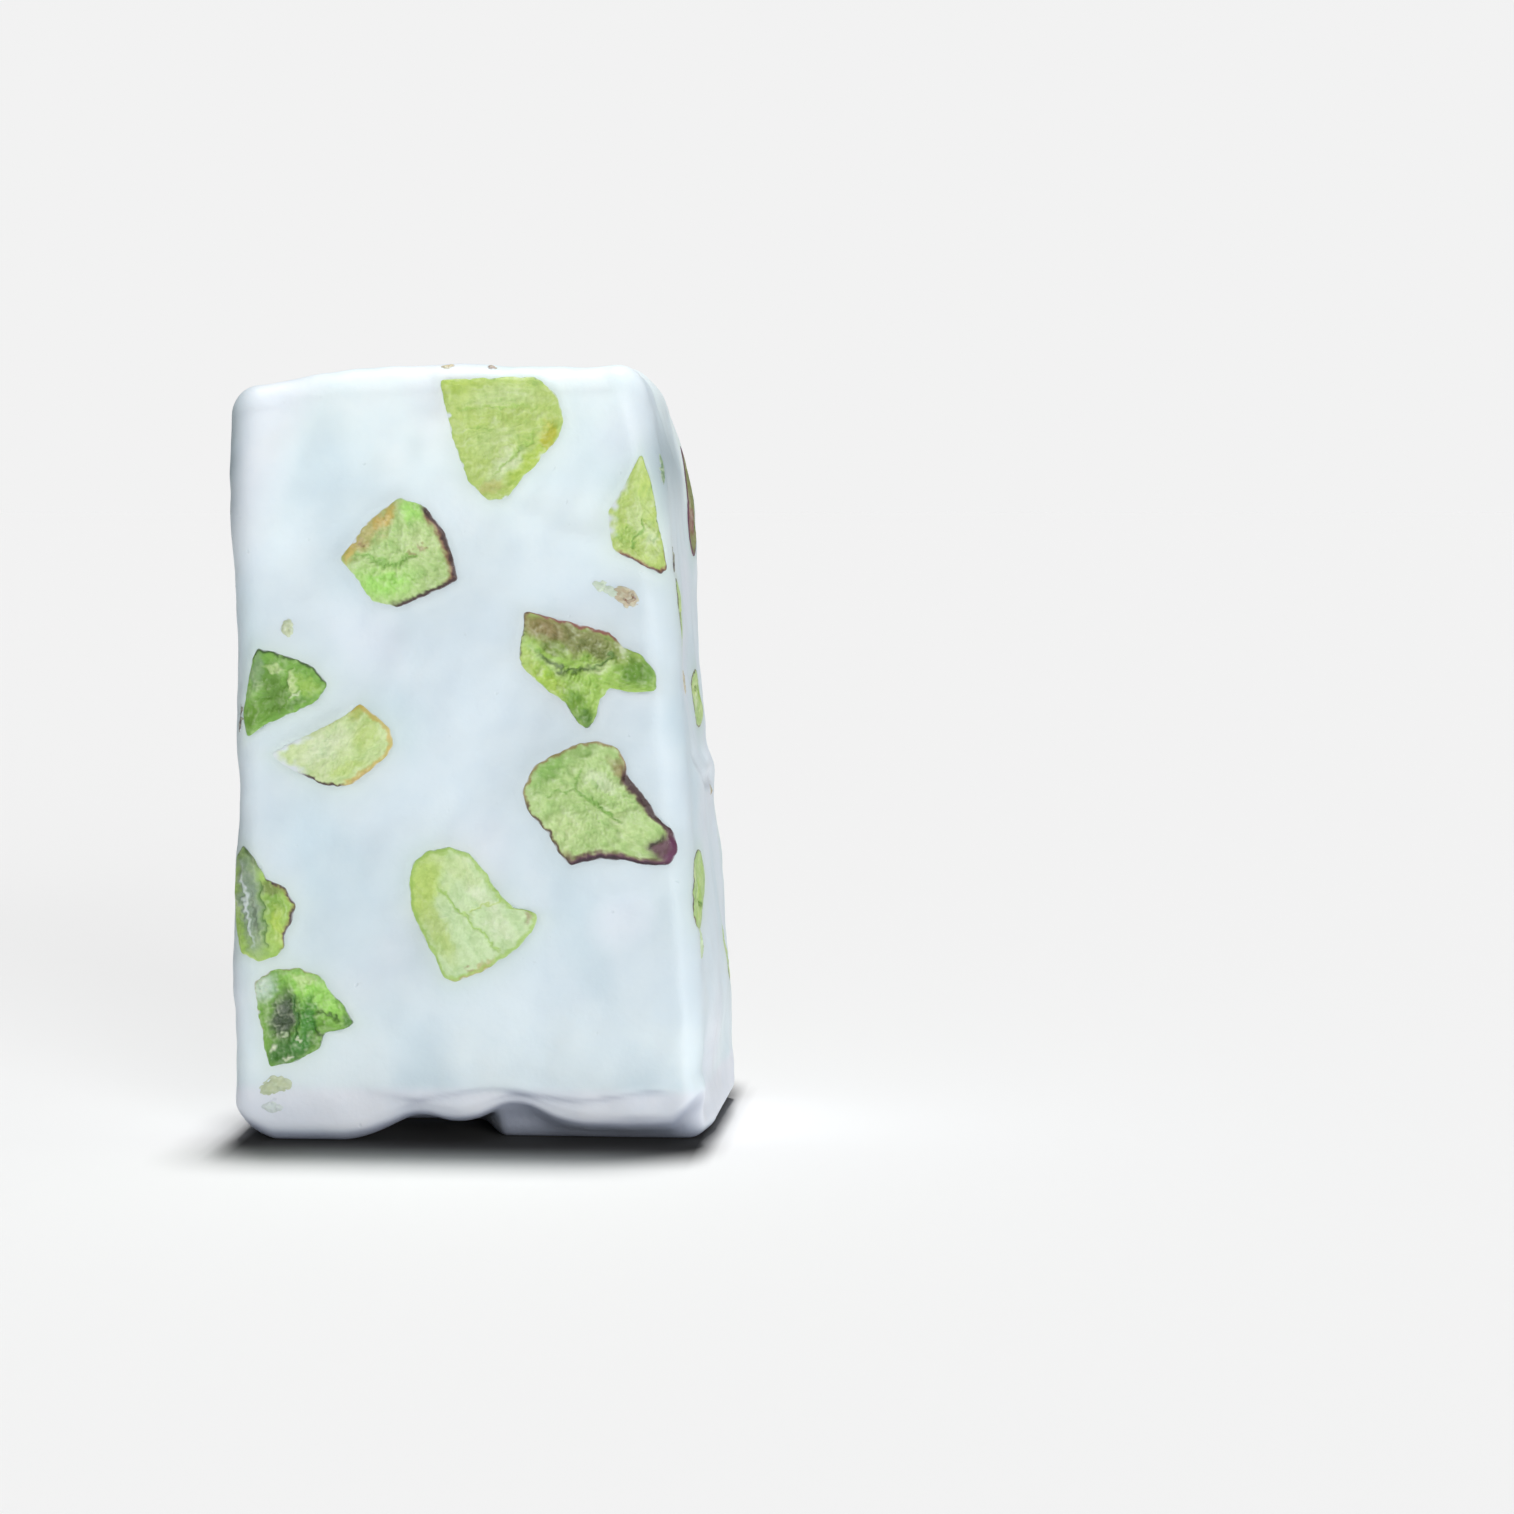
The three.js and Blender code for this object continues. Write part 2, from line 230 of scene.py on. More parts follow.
def direction(azimuth, elevation):  # from the bar towards a place around it; azimuth 0 is in front
    a, e = radians(azimuth), radians(elevation)
    return Vector((sin(a) * cos(e), -cos(a) * cos(e), sin(e)))


def makeCamera():
    camera = bpy.data.objects.new("camera", bpy.data.cameras.new("camera"))
    scene.collection.objects.link(camera)
    back = direction(view["azimuth"], view["elevation"])
    right = Vector((cos(radians(view["azimuth"])), sin(radians(view["azimuth"])), 0))
    aim = Vector((0, cadBox[0].y, view["aimUp"] * mm)) + right * view["aimRight"] * mm
    camera.location = aim + back * view["distance"] * mm
    camera.rotation_mode = "QUATERNION"
    camera.rotation_quaternion = (-back).to_track_quat("-Z", "Y")
    camera.data.lens, camera.data.sensor_width = view["lens"], view["sensor"]
    camera.data.clip_start, camera.data.clip_end = view["clip"]
    scene.camera = camera


def makeLight():
    scene.view_settings.view_transform = "Standard"
    world = bpy.data.worlds.new("studio")
    scene.world = world
    world.use_nodes = True
    nodes, links = world.node_tree.nodes, world.node_tree.links
    nodes.clear()
    seen, lit = nodes.new("ShaderNodeBackground"), nodes.new("ShaderNodeBackground")
    seen.inputs["Strength"].default_value = light["backdrop"]
    lit.inputs["Strength"].default_value = light["dome"]
    for sky in (seen, lit):
        sky.inputs["Color"].default_value = (1, 1, 1, 1)
    rays, mix, out = (nodes.new(f"ShaderNode{kind}") for kind in ("LightPath", "MixShader", "OutputWorld"))
    links.new(rays.outputs["Is Camera Ray"], mix.inputs[0])
    links.new(lit.outputs[0], mix.inputs[1])
    links.new(seen.outputs[0], mix.inputs[2])
    links.new(mix.outputs[0], out.inputs["Surface"])
    for number, (azimuth, elevation, strength, across) in enumerate(light["suns"]):
        lamp = bpy.data.lights.new(f"sun{number}", "SUN")
        lamp.energy, lamp.angle = strength, radians(across)
        holder = bpy.data.objects.new(lamp.name, lamp)
        holder.rotation_mode = "QUATERNION"
        holder.rotation_quaternion = direction(azimuth, elevation).to_track_quat("Z", "Y")
        scene.collection.objects.link(holder)


def makeFloor():
    # a wide floor with a fine middle, whose grey is darkened round the foot as a painted contact shadow
    paintedShadow = light["paintedShadow"]
    fine = np.arange(-paintedShadow["patch"], paintedShadow["patch"] + paintedShadow["cell"] / 8, paintedShadow["cell"])
    line = np.concatenate([[-paintedShadow["horizon"]], fine, [paintedShadow["horizon"]]])
    x, y = (places.ravel() for places in np.meshgrid(line, line))
    number = np.arange(x.size).reshape(len(line), len(line))
    quads = np.stack([number[:-1, :-1], number[:-1, 1:], number[1:, 1:], number[1:, :-1]], axis=-1)
    flat = np.stack([x, y, np.zeros(x.size)], axis=-1)
    floor = newMesh("floor", flat, quads.reshape(-1, 4).tolist(), smoothShaded=False)
    beyondX = np.clip(np.abs(x) - paintedShadow["halfWidth"], 0, None) * paintedShadow["sideways"]
    beyondY = np.clip(np.abs(y) - paintedShadow["halfDepth"], 0, None)
    near = smooth(paintedShadow["reach"], paintedShadow["full"], np.hypot(beyondX, beyondY))
    # painted shadow: the floor's grey is darkened near the foot
    grey = light["floor"] * (1 - paintedShadow["strength"] * near)
    setColour(floor.data, "paint", np.repeat(grey[:, None], 3, axis=1))
    paint = Graph("floorWithPaintedShadow")
    fed = {"Base Color": paint.painted("paint", "Color")}
    floor.data.materials.append(paint.finish(fed, {"Roughness": 1, "Specular IOR Level": 0}))


makeCamera()
makeLight()
makeFloor()
print("camera, light and floor are in place")

bar = dict(
    width=32.3,
    depth=21.0,
    height=52.0,
    edge=2.3,  # radius of the upper edges
    footEdge=1.5,  # and of the crisper ones at the foot
    edgeTurn=(-0.9, 0.3),  # the radius grows between these heights; the foot is at -1, the top at 1
    spacing=0.28,  # between the mesh's points
    widthTaper=0.117,
    depthTaper=0.03,
    lean=-1.9,
    leftSide=(-6.0, -15.0),  # x where a side sets in, and where it is full
    rightSide=(6.0, 13.0),
    fallFrom=0.8,  # the top falls away above this share of the height
    fallBack=1.0,
    fallLeft=1.1,
    riseRight=0.2,
    riseTurn=(0.0, 8.0),
    shoulder=0.9,
    shoulderFrom=0.84,
    shelf=0.45,
    shelfHeight=24.9,
    shelfSoft=1.2,
    shelfDepth=(-8.0, -3.0),
    footTuck=0.5,
    footTuckTurn=(9.0, 3.0),
    swell=0.22,
    flatRise=5.0,
    ledge=(-9.0, -3.8, 1.05),  # from, to, lift
    chips=[(-3.4, 2.2, 0.7), (2.9, 2.7, 1.35)],  # middle, half width, lift
    cornerLift=(1.2, 2.4),  # left, right
    cornerTurns=[(-13.3, -16.3), (13.8, 16.6)],
    undercut=(5.5, -1.0, 3.4),  # depth at the left, at the right, slope
    undercutTurn=(-1.0, 2.0),
    liftRise=6.5,
)

waves = [  # along x, y and z in radians per millimetre, phase, share
    (0.29, 0.21, 0.17, 0.6, 0.5),
    (-0.18, 0.34, 0.26, 2.1, 0.35),
    (0.41, -0.16, -0.33, 4.0, 0.3),
]


def boxLattice(cells):
    # whole-number places all over a box of that many cells, one for each point, and the quads between them
    places, quads = [], []
    count = 0
    for axis in range(3):
        u, v = (axis + 1) % 3, (axis + 2) % 3
        for side in (0, 1):
            grid = np.zeros((cells[u] + 1, cells[v] + 1, 3), int)
            grid[..., axis] = side * cells[axis]
            grid[..., u] = np.arange(cells[u] + 1)[:, None]
            grid[..., v] = np.arange(cells[v] + 1)[None, :]
            number = count + np.arange(grid[..., 0].size).reshape(grid.shape[:2])
            ring = [number[:-1, :-1], number[1:, :-1], number[1:, 1:], number[:-1, 1:]]
            quads.append(np.stack(ring if side else ring[::-1], axis=-1).reshape(-1, 4))
            places.append(grid.reshape(-1, 3))
            count += number.size
    places = np.concatenate(places)
    once, same = np.unique(places, axis=0, return_inverse=True)
    return once, same.reshape(-1)[np.concatenate(quads)]


def edgeCells(radius):
    return int(round(radius * pi / 4 / bar["spacing"]))


def linePlace(share, coreHalf, cellCount, turning, radius):
    # where a lattice line crosses its axis: even on the flat, by equal angles round the edge
    flat = 1 - 2 * turning / cellCount
    beyond = np.clip(np.abs(share) - flat, 0, None) / (1 - flat)
    onFlat = np.clip(np.abs(share), 0, flat) / flat * coreHalf
    return np.sign(share) * (onFlat + radius * np.tan(beyond * pi / 4))


def footLift(x):
    start, end, lift = bar["ledge"]
    chipped = sum(height * hill(middle, half, x) for middle, half, height in bar["chips"])
    ends = sum(high * smooth(*turn, x) for high, turn in zip(bar["cornerLift"], bar["cornerTurns"]))
    return lift * smooth(start, end, x) + chipped + ends


def shapeBar(points, outward):
    # the soft box swells in waves, leans and tapers; its top falls back, its shoulder and foot are worn
    x, y, z = points.T
    swell = sum(share * np.sin(a * x + b * y + c * z + phase) for a, b, c, phase, share in waves)
    x, y, z = (points + outward * (bar["swell"] * swell * smooth(0, bar["flatRise"], z))[:, None]).T
    rise = z / bar["height"]
    left, right = smooth(*bar["leftSide"], x), smooth(*bar["rightSide"], x)
    deepLeft, deepRight, slope = bar["undercut"]
    back = bar["footEdge"] + lerp(deepLeft, deepRight, smooth(*bar["undercutTurn"], x))
    atFront = smooth(back + slope, back, y + bar["depth"] / 2)
    lift = footLift(x) * atFront * smooth(bar["liftRise"], 0, z)
    fall = bar["fallBack"] * (y / bar["depth"] + 0.5) + bar["fallLeft"] * left
    fall = fall - bar["riseRight"] * smooth(*bar["riseTurn"], x)
    above, below = bar["shelfHeight"] + bar["shelfSoft"], bar["shelfHeight"] - bar["shelfSoft"]
    shelf = smooth(above, below, z) * smooth(*bar["shelfDepth"], y)
    x = x * (1 - bar["widthTaper"] * rise) + bar["lean"] * rise
    worn = bar["shoulder"] * smooth(bar["shoulderFrom"], 1, rise)
    worn = worn + bar["footTuck"] * smooth(*bar["footTuckTurn"], z)
    x = x + right * (bar["shelf"] * shelf - worn)
    y = y * (1 - bar["depthTaper"] * rise)
    z = z + lift - fall * smooth(bar["fallFrom"], 1, rise)
    return np.stack([x, y, z], axis=-1)


def makeSkin():
    half = np.array([bar["width"], bar["depth"], bar["height"]]) / 2
    turning = edgeCells(bar["edge"])
    cells = (np.round(2 * (half - bar["edge"]) / bar["spacing"]) + 2 * turning).astype(int)
    lattice, quads = boxLattice(cells)
    share = 2 * lattice / cells - 1
    upper = bar["edge"]
    height = linePlace(share[:, 2], half[2] - upper, cells[2], turning, upper) / half[2]
    radius = lerp(bar["footEdge"], upper, smooth(*bar["edgeTurn"], height))[:, None]
    core = half - radius
    plain = np.stack(
        [linePlace(share[:, i], core[:, i], cells[i], turning, radius[:, 0]) for i in range(3)], axis=-1
    )
    inner = np.clip(plain, -core, core)
    outward = unit(plain - inner)
    points = shapeBar(inner + outward * radius + [0, 0, half[2]], outward)
    lowest, highest = (np.array(corner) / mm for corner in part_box("nougat"))
    shift = (lowest + highest) / 2 - (points.min(0) + points.max(0)) / 2
    shift[2] = lowest[2] - points[:, 2].min()
    return newMesh("nougatBlock", points + shift, quads), shift


def outwards(mesh):
    normals = np.empty(len(mesh.vertices) * 3, np.float32)
    mesh.vertex_normals.foreach_get("vector", normals)
    return normals.reshape(-1, 3).astype(float)


relief = dict(
    soft=[(11.0, 0.10), (5.0, 0.05), (2.4, 0.018)],  # size and height of the hills and hollows
    footFade=2.5,  # they fade out this near to the foot
    dish=(8.6, 43.6, 4.2, 0.42),  # a hollow in the front: x, z, radius, depth
    ridge=((0.6, 43.4), (9.9, 39.4), 0.9, 0.22),  # from, to, half width, height
    lip=dict(  # a soft lip above the foot's front edge
        height=3.4,
        swing=0.35,
        wave=11.0,
        phase=0.6,
        ends=[(-9.0, -4.0), (15.0, 12.0)],
        out=0.10,
        down=0.20,
        soft=0.35,
        fade=2.0,
    ),
)

folds = [  # face, from, to, half width, depth: soft creases where the sweet was folded as it was rolled out
    ("front", (6.0, 17.6), (13.0, 15.6), 0.5, 0.06),
    ("back", (-12.0, 29.0), (12.5, 31.5), 0.8, 0.28),
    ("back", (-3.0, 15.0), (13.0, 13.2), 0.6, 0.16),
    ("left", (-8.0, 38.0), (8.0, 41.0), 0.7, 0.22),
    ("left", (-7.0, 15.5), (5.0, 17.0), 0.6, 0.16),
    ("right", (-6.0, 25.6), (9.0, 22.6), 0.7, 0.30),
    ("top", (-12.0, -5.5), (9.0, -7.0), 0.6, 0.14),
]

faces = {  # outwards, and the two directions that places on the face are given in
    "front": (np.array([0, -1, 0]), 0, 2),
    "back": (np.array([0, 1, 0]), 0, 2),
    "left": (np.array([-1, 0, 0]), 1, 2),
    "right": (np.array([1, 0, 0]), 1, 2),
    "top": (np.array([0, 0, 1]), 0, 1),
    "foot": (np.array([0, 0, -1]), 0, 1),
}


def beside(places, start, end):
    # distance from a straight line between two places, to its left, and the share of the way along it
    start, way = np.array(start), np.array(end) - np.array(start)
    length = np.linalg.norm(way)
    ahead = (places - start) @ way / length
    aside = (places - start) @ np.array([-way[1], way[0]]) / length
    return aside, ahead / length


def addRelief(thing, shift):
    # hills all over, a hollow, a ridge and a lip on the front, and folds; each pushes along the normal
    points, normals = meshPoints(thing.data), outwards(thing.data)
    plain = points - shift
    x, y, z = plain.T
    height = sum(high * ripples(plain, size, seed) for seed, (size, high) in enumerate(relief["soft"]))
    front = smooth(0.5, 0.9, -normals[:, 1])
    dishX, dishZ, dishRadius, dishDepth = relief["dish"]
    height -= front * dishDepth * hill(0, dishRadius, np.hypot(x - dishX, z - dishZ))
    start, end, half, high = relief["ridge"]
    aside, along = beside(plain[:, [0, 2]], start, end)
    height += front * high * hill(0, half, aside) * smooth(-0.25, 0.2, along) * smooth(1.2, 0.8, along)
    lip = relief["lip"]
    line = lip["height"] + lip["swing"] * np.sin(2 * pi * x / lip["wave"] + lip["phase"])
    left, right = lip["ends"]
    strength = front * smooth(*left, x) * smooth(*right, x)
    height += strength * lip["out"] * hill(lip["soft"], lip["soft"] * 1.6, z - line)
    under = strength * lip["down"] * smooth(lip["soft"], -lip["soft"], z - line)
    height -= under * smooth(0, lip["fade"], z)
    for face, start, end, half, deep in folds:
        out, across, up = faces[face]
        there = smooth(0.5, 0.9, normals @ out)
        aside, along = beside(plain[:, [across, up]], start, end)
        aside = aside + 0.5 * np.sin(along * 7 + len(face))
        ends = smooth(-0.05, 0.25, along) * smooth(1.05, 0.75, along)
        height += there * ends * deep * (0.7 * hill(1.4 * half, half, aside) - hill(0, half, aside))
    fade = smooth(0, relief["footFade"], z)
    setPoints(thing.data, points + normals * (height * fade)[:, None])


nougat, nougatShift = makeSkin()
addRelief(nougat, nougatShift)
print("the block has", len(nougat.data.polygons), "faces and was moved by", nougatShift.round(3))


def trianglesOf(mesh):
    corners = np.empty(len(mesh.loops), np.int32)
    mesh.loops.foreach_get("vertex_index", corners)
    return meshPoints(mesh)[corners.reshape(-1, 3)]


seatFind = dict(
    facing=-0.2,  # an inner end faces into the bar at least this much
    leastArea=0.001,
    sameWay=0.9995,  # cosine between the triangles of one flat end
    square=0.02,  # and at most between an end's and a wall's
    soft={"front": 2.0, "other": 10.0},  # corners are rounded over this many degrees each way
    turns=5,
)


def kernelSeat(node, face):
    # A CAD kernel is a plug with a flat inner end and straight walls. The inner end gives the way that it
    # faces and its middle, and the walls' corners give the corners of its outline.
    corners = trianglesOf(node.data)
    cross = np.cross(corners[:, 1] - corners[:, 0], corners[:, 2] - corners[:, 0])
    area = np.linalg.norm(cross, axis=1)
    normal = cross / np.maximum(area, 1e-12)[:, None]
    inner = (normal @ faces[face][0] < seatFind["facing"]) & (area > seatFind["leastArea"])
    kinds, kind = np.unique(normal[inner].round(2), axis=0, return_inverse=True)
    largest = kinds[np.argmax(np.bincount(kind.reshape(-1), area[inner]))]
    end = normal @ unit(largest) > seatFind["sameWay"]
    outward = -unit(cross[end].sum(0))
    middle = (corners[end].mean(1) * area[end, None]).sum(0) / area[end].sum()
    wall = (np.abs(normal @ outward) < seatFind["square"]) & (area > seatFind["leastArea"])
    return seatAt(middle, outward, face, corners[wall].reshape(-1, 3))


def seatAt(middle, outward, face, rim):
    up = np.array([0.0, 1.0, 0.0]) if faces[face][0][2] else np.array([0.0, 0.0, 1.0])
    up = unit(up - outward * (up @ outward))
    across = np.cross(up, outward)
    flat = (rim - middle) @ np.stack([across, up], axis=1)
    angle, first = np.unique(np.arctan2(flat[:, 1], flat[:, 0]).round(3), return_index=True)
    soft = radians(seatFind["soft"]["front" if face == "front" else "other"])
    ways = dict(middle=middle, across=across, up=up, outward=outward)
    return dict(**ways, angle=angle, corners=flat[first], soft=soft)


def outlineAt(seat, angle):
    # where a ray at this angle crosses the straight side between the two corners about it, as a mean over
    # a few nearby angles, which rounds the corners: (first x second) / (ray x side), x the cross product
    corners = np.concatenate([seat["corners"], seat["corners"][:1]])
    side = np.diff(corners, axis=0)
    area = corners[:-1, 0] * side[:, 1] - corners[:-1, 1] * side[:, 0]
    radius = 0
    for turn in np.linspace(-seat["soft"], seat["soft"], seatFind["turns"]):
        ray = (angle + turn + pi) % (2 * pi) - pi
        which = (np.searchsorted(seat["angle"], ray, side="right") - 1) % len(side)
        radius = radius + area[which] / (np.cos(ray) * side[which, 1] - np.sin(ray) * side[which, 0])
    return radius / seatFind["turns"]


kernelNodes = {name: node for name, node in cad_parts.items() if name != "nougat"}
seats = {name: kernelSeat(node, name.split("_")[1]) for name, node in kernelNodes.items()}
print("found the seats of", len(seats), "kernels")

kernel = dict(
    around={"front": 240, "other": 140},  # points round a kernel
    rings={"front": 56, "other": 32},  # and from its middle to its rim
    crowding=1.3,  # the rings crowd towards the rim
    ragged=0.045,  # the outline wanders by this much
    reach=8.0,  # a sheet starts this far outside its seat
    miss=0.01,  # a point that has come no further than this has missed the block
    seed=100,
    paintSeed=300,
    overlap=0.22,  # a sheet reaches this far past its outline
    dip=0.30,  # the rim dives this deep below the nougat
    dipWidth=0.22,
    proud=0.05,  # the rest stands this much above it
    proudWidth=0.5,
    raised=(0.15, 0.8),  # what is raised on a kernel grows to full height this far in from its rim
    sunk=(0.5, 1.1),  # and what is sunk in it to full depth
    skirt=[(0.05, 0.35), (0.18, 0.9), (0.5, 1.25)],  # share drawn in and depth of the hidden sides
    leastHeight=0.03,  # above the floor
    pocketDepth=1.6,  # the nougat is hollowed this deep under a kernel
)

palette = {
    name: linear(*colour)
    for name, colour in dict(
        white=(224, 234, 238),
        cream=(226, 236, 205),
        mint=(203, 227, 175),
        pale=(206, 225, 162),
        sprout=(182, 210, 138),
        lime=(188, 211, 118),
        citron=(184, 210, 84),
        gold=(192, 190, 58),
        pear=(174, 188, 92),
        spring=(166, 222, 107),
        fresh=(165, 202, 96),
        vivid=(105, 151, 48),
        leaf=(126, 176, 76),
        grass=(78, 146, 60),
        forest=(60, 116, 52),
        deep=(84, 128, 50),
        bottle=(104, 146, 58),
        shade=(58, 84, 42),
        moss=(116, 126, 68),
        olive=(142, 146, 90),
        sage=(135, 155, 133),
        slate=(80, 95, 74),
        umber=(150, 120, 82),
        tan=(190, 166, 108),
        amber=(202, 172, 84),
        rust=(142, 98, 68),
        rosewood=(146, 84, 84),
        bark=(70, 50, 48),
        plum=(98, 44, 82),
        ink=(44, 30, 42),
    ).items()
}
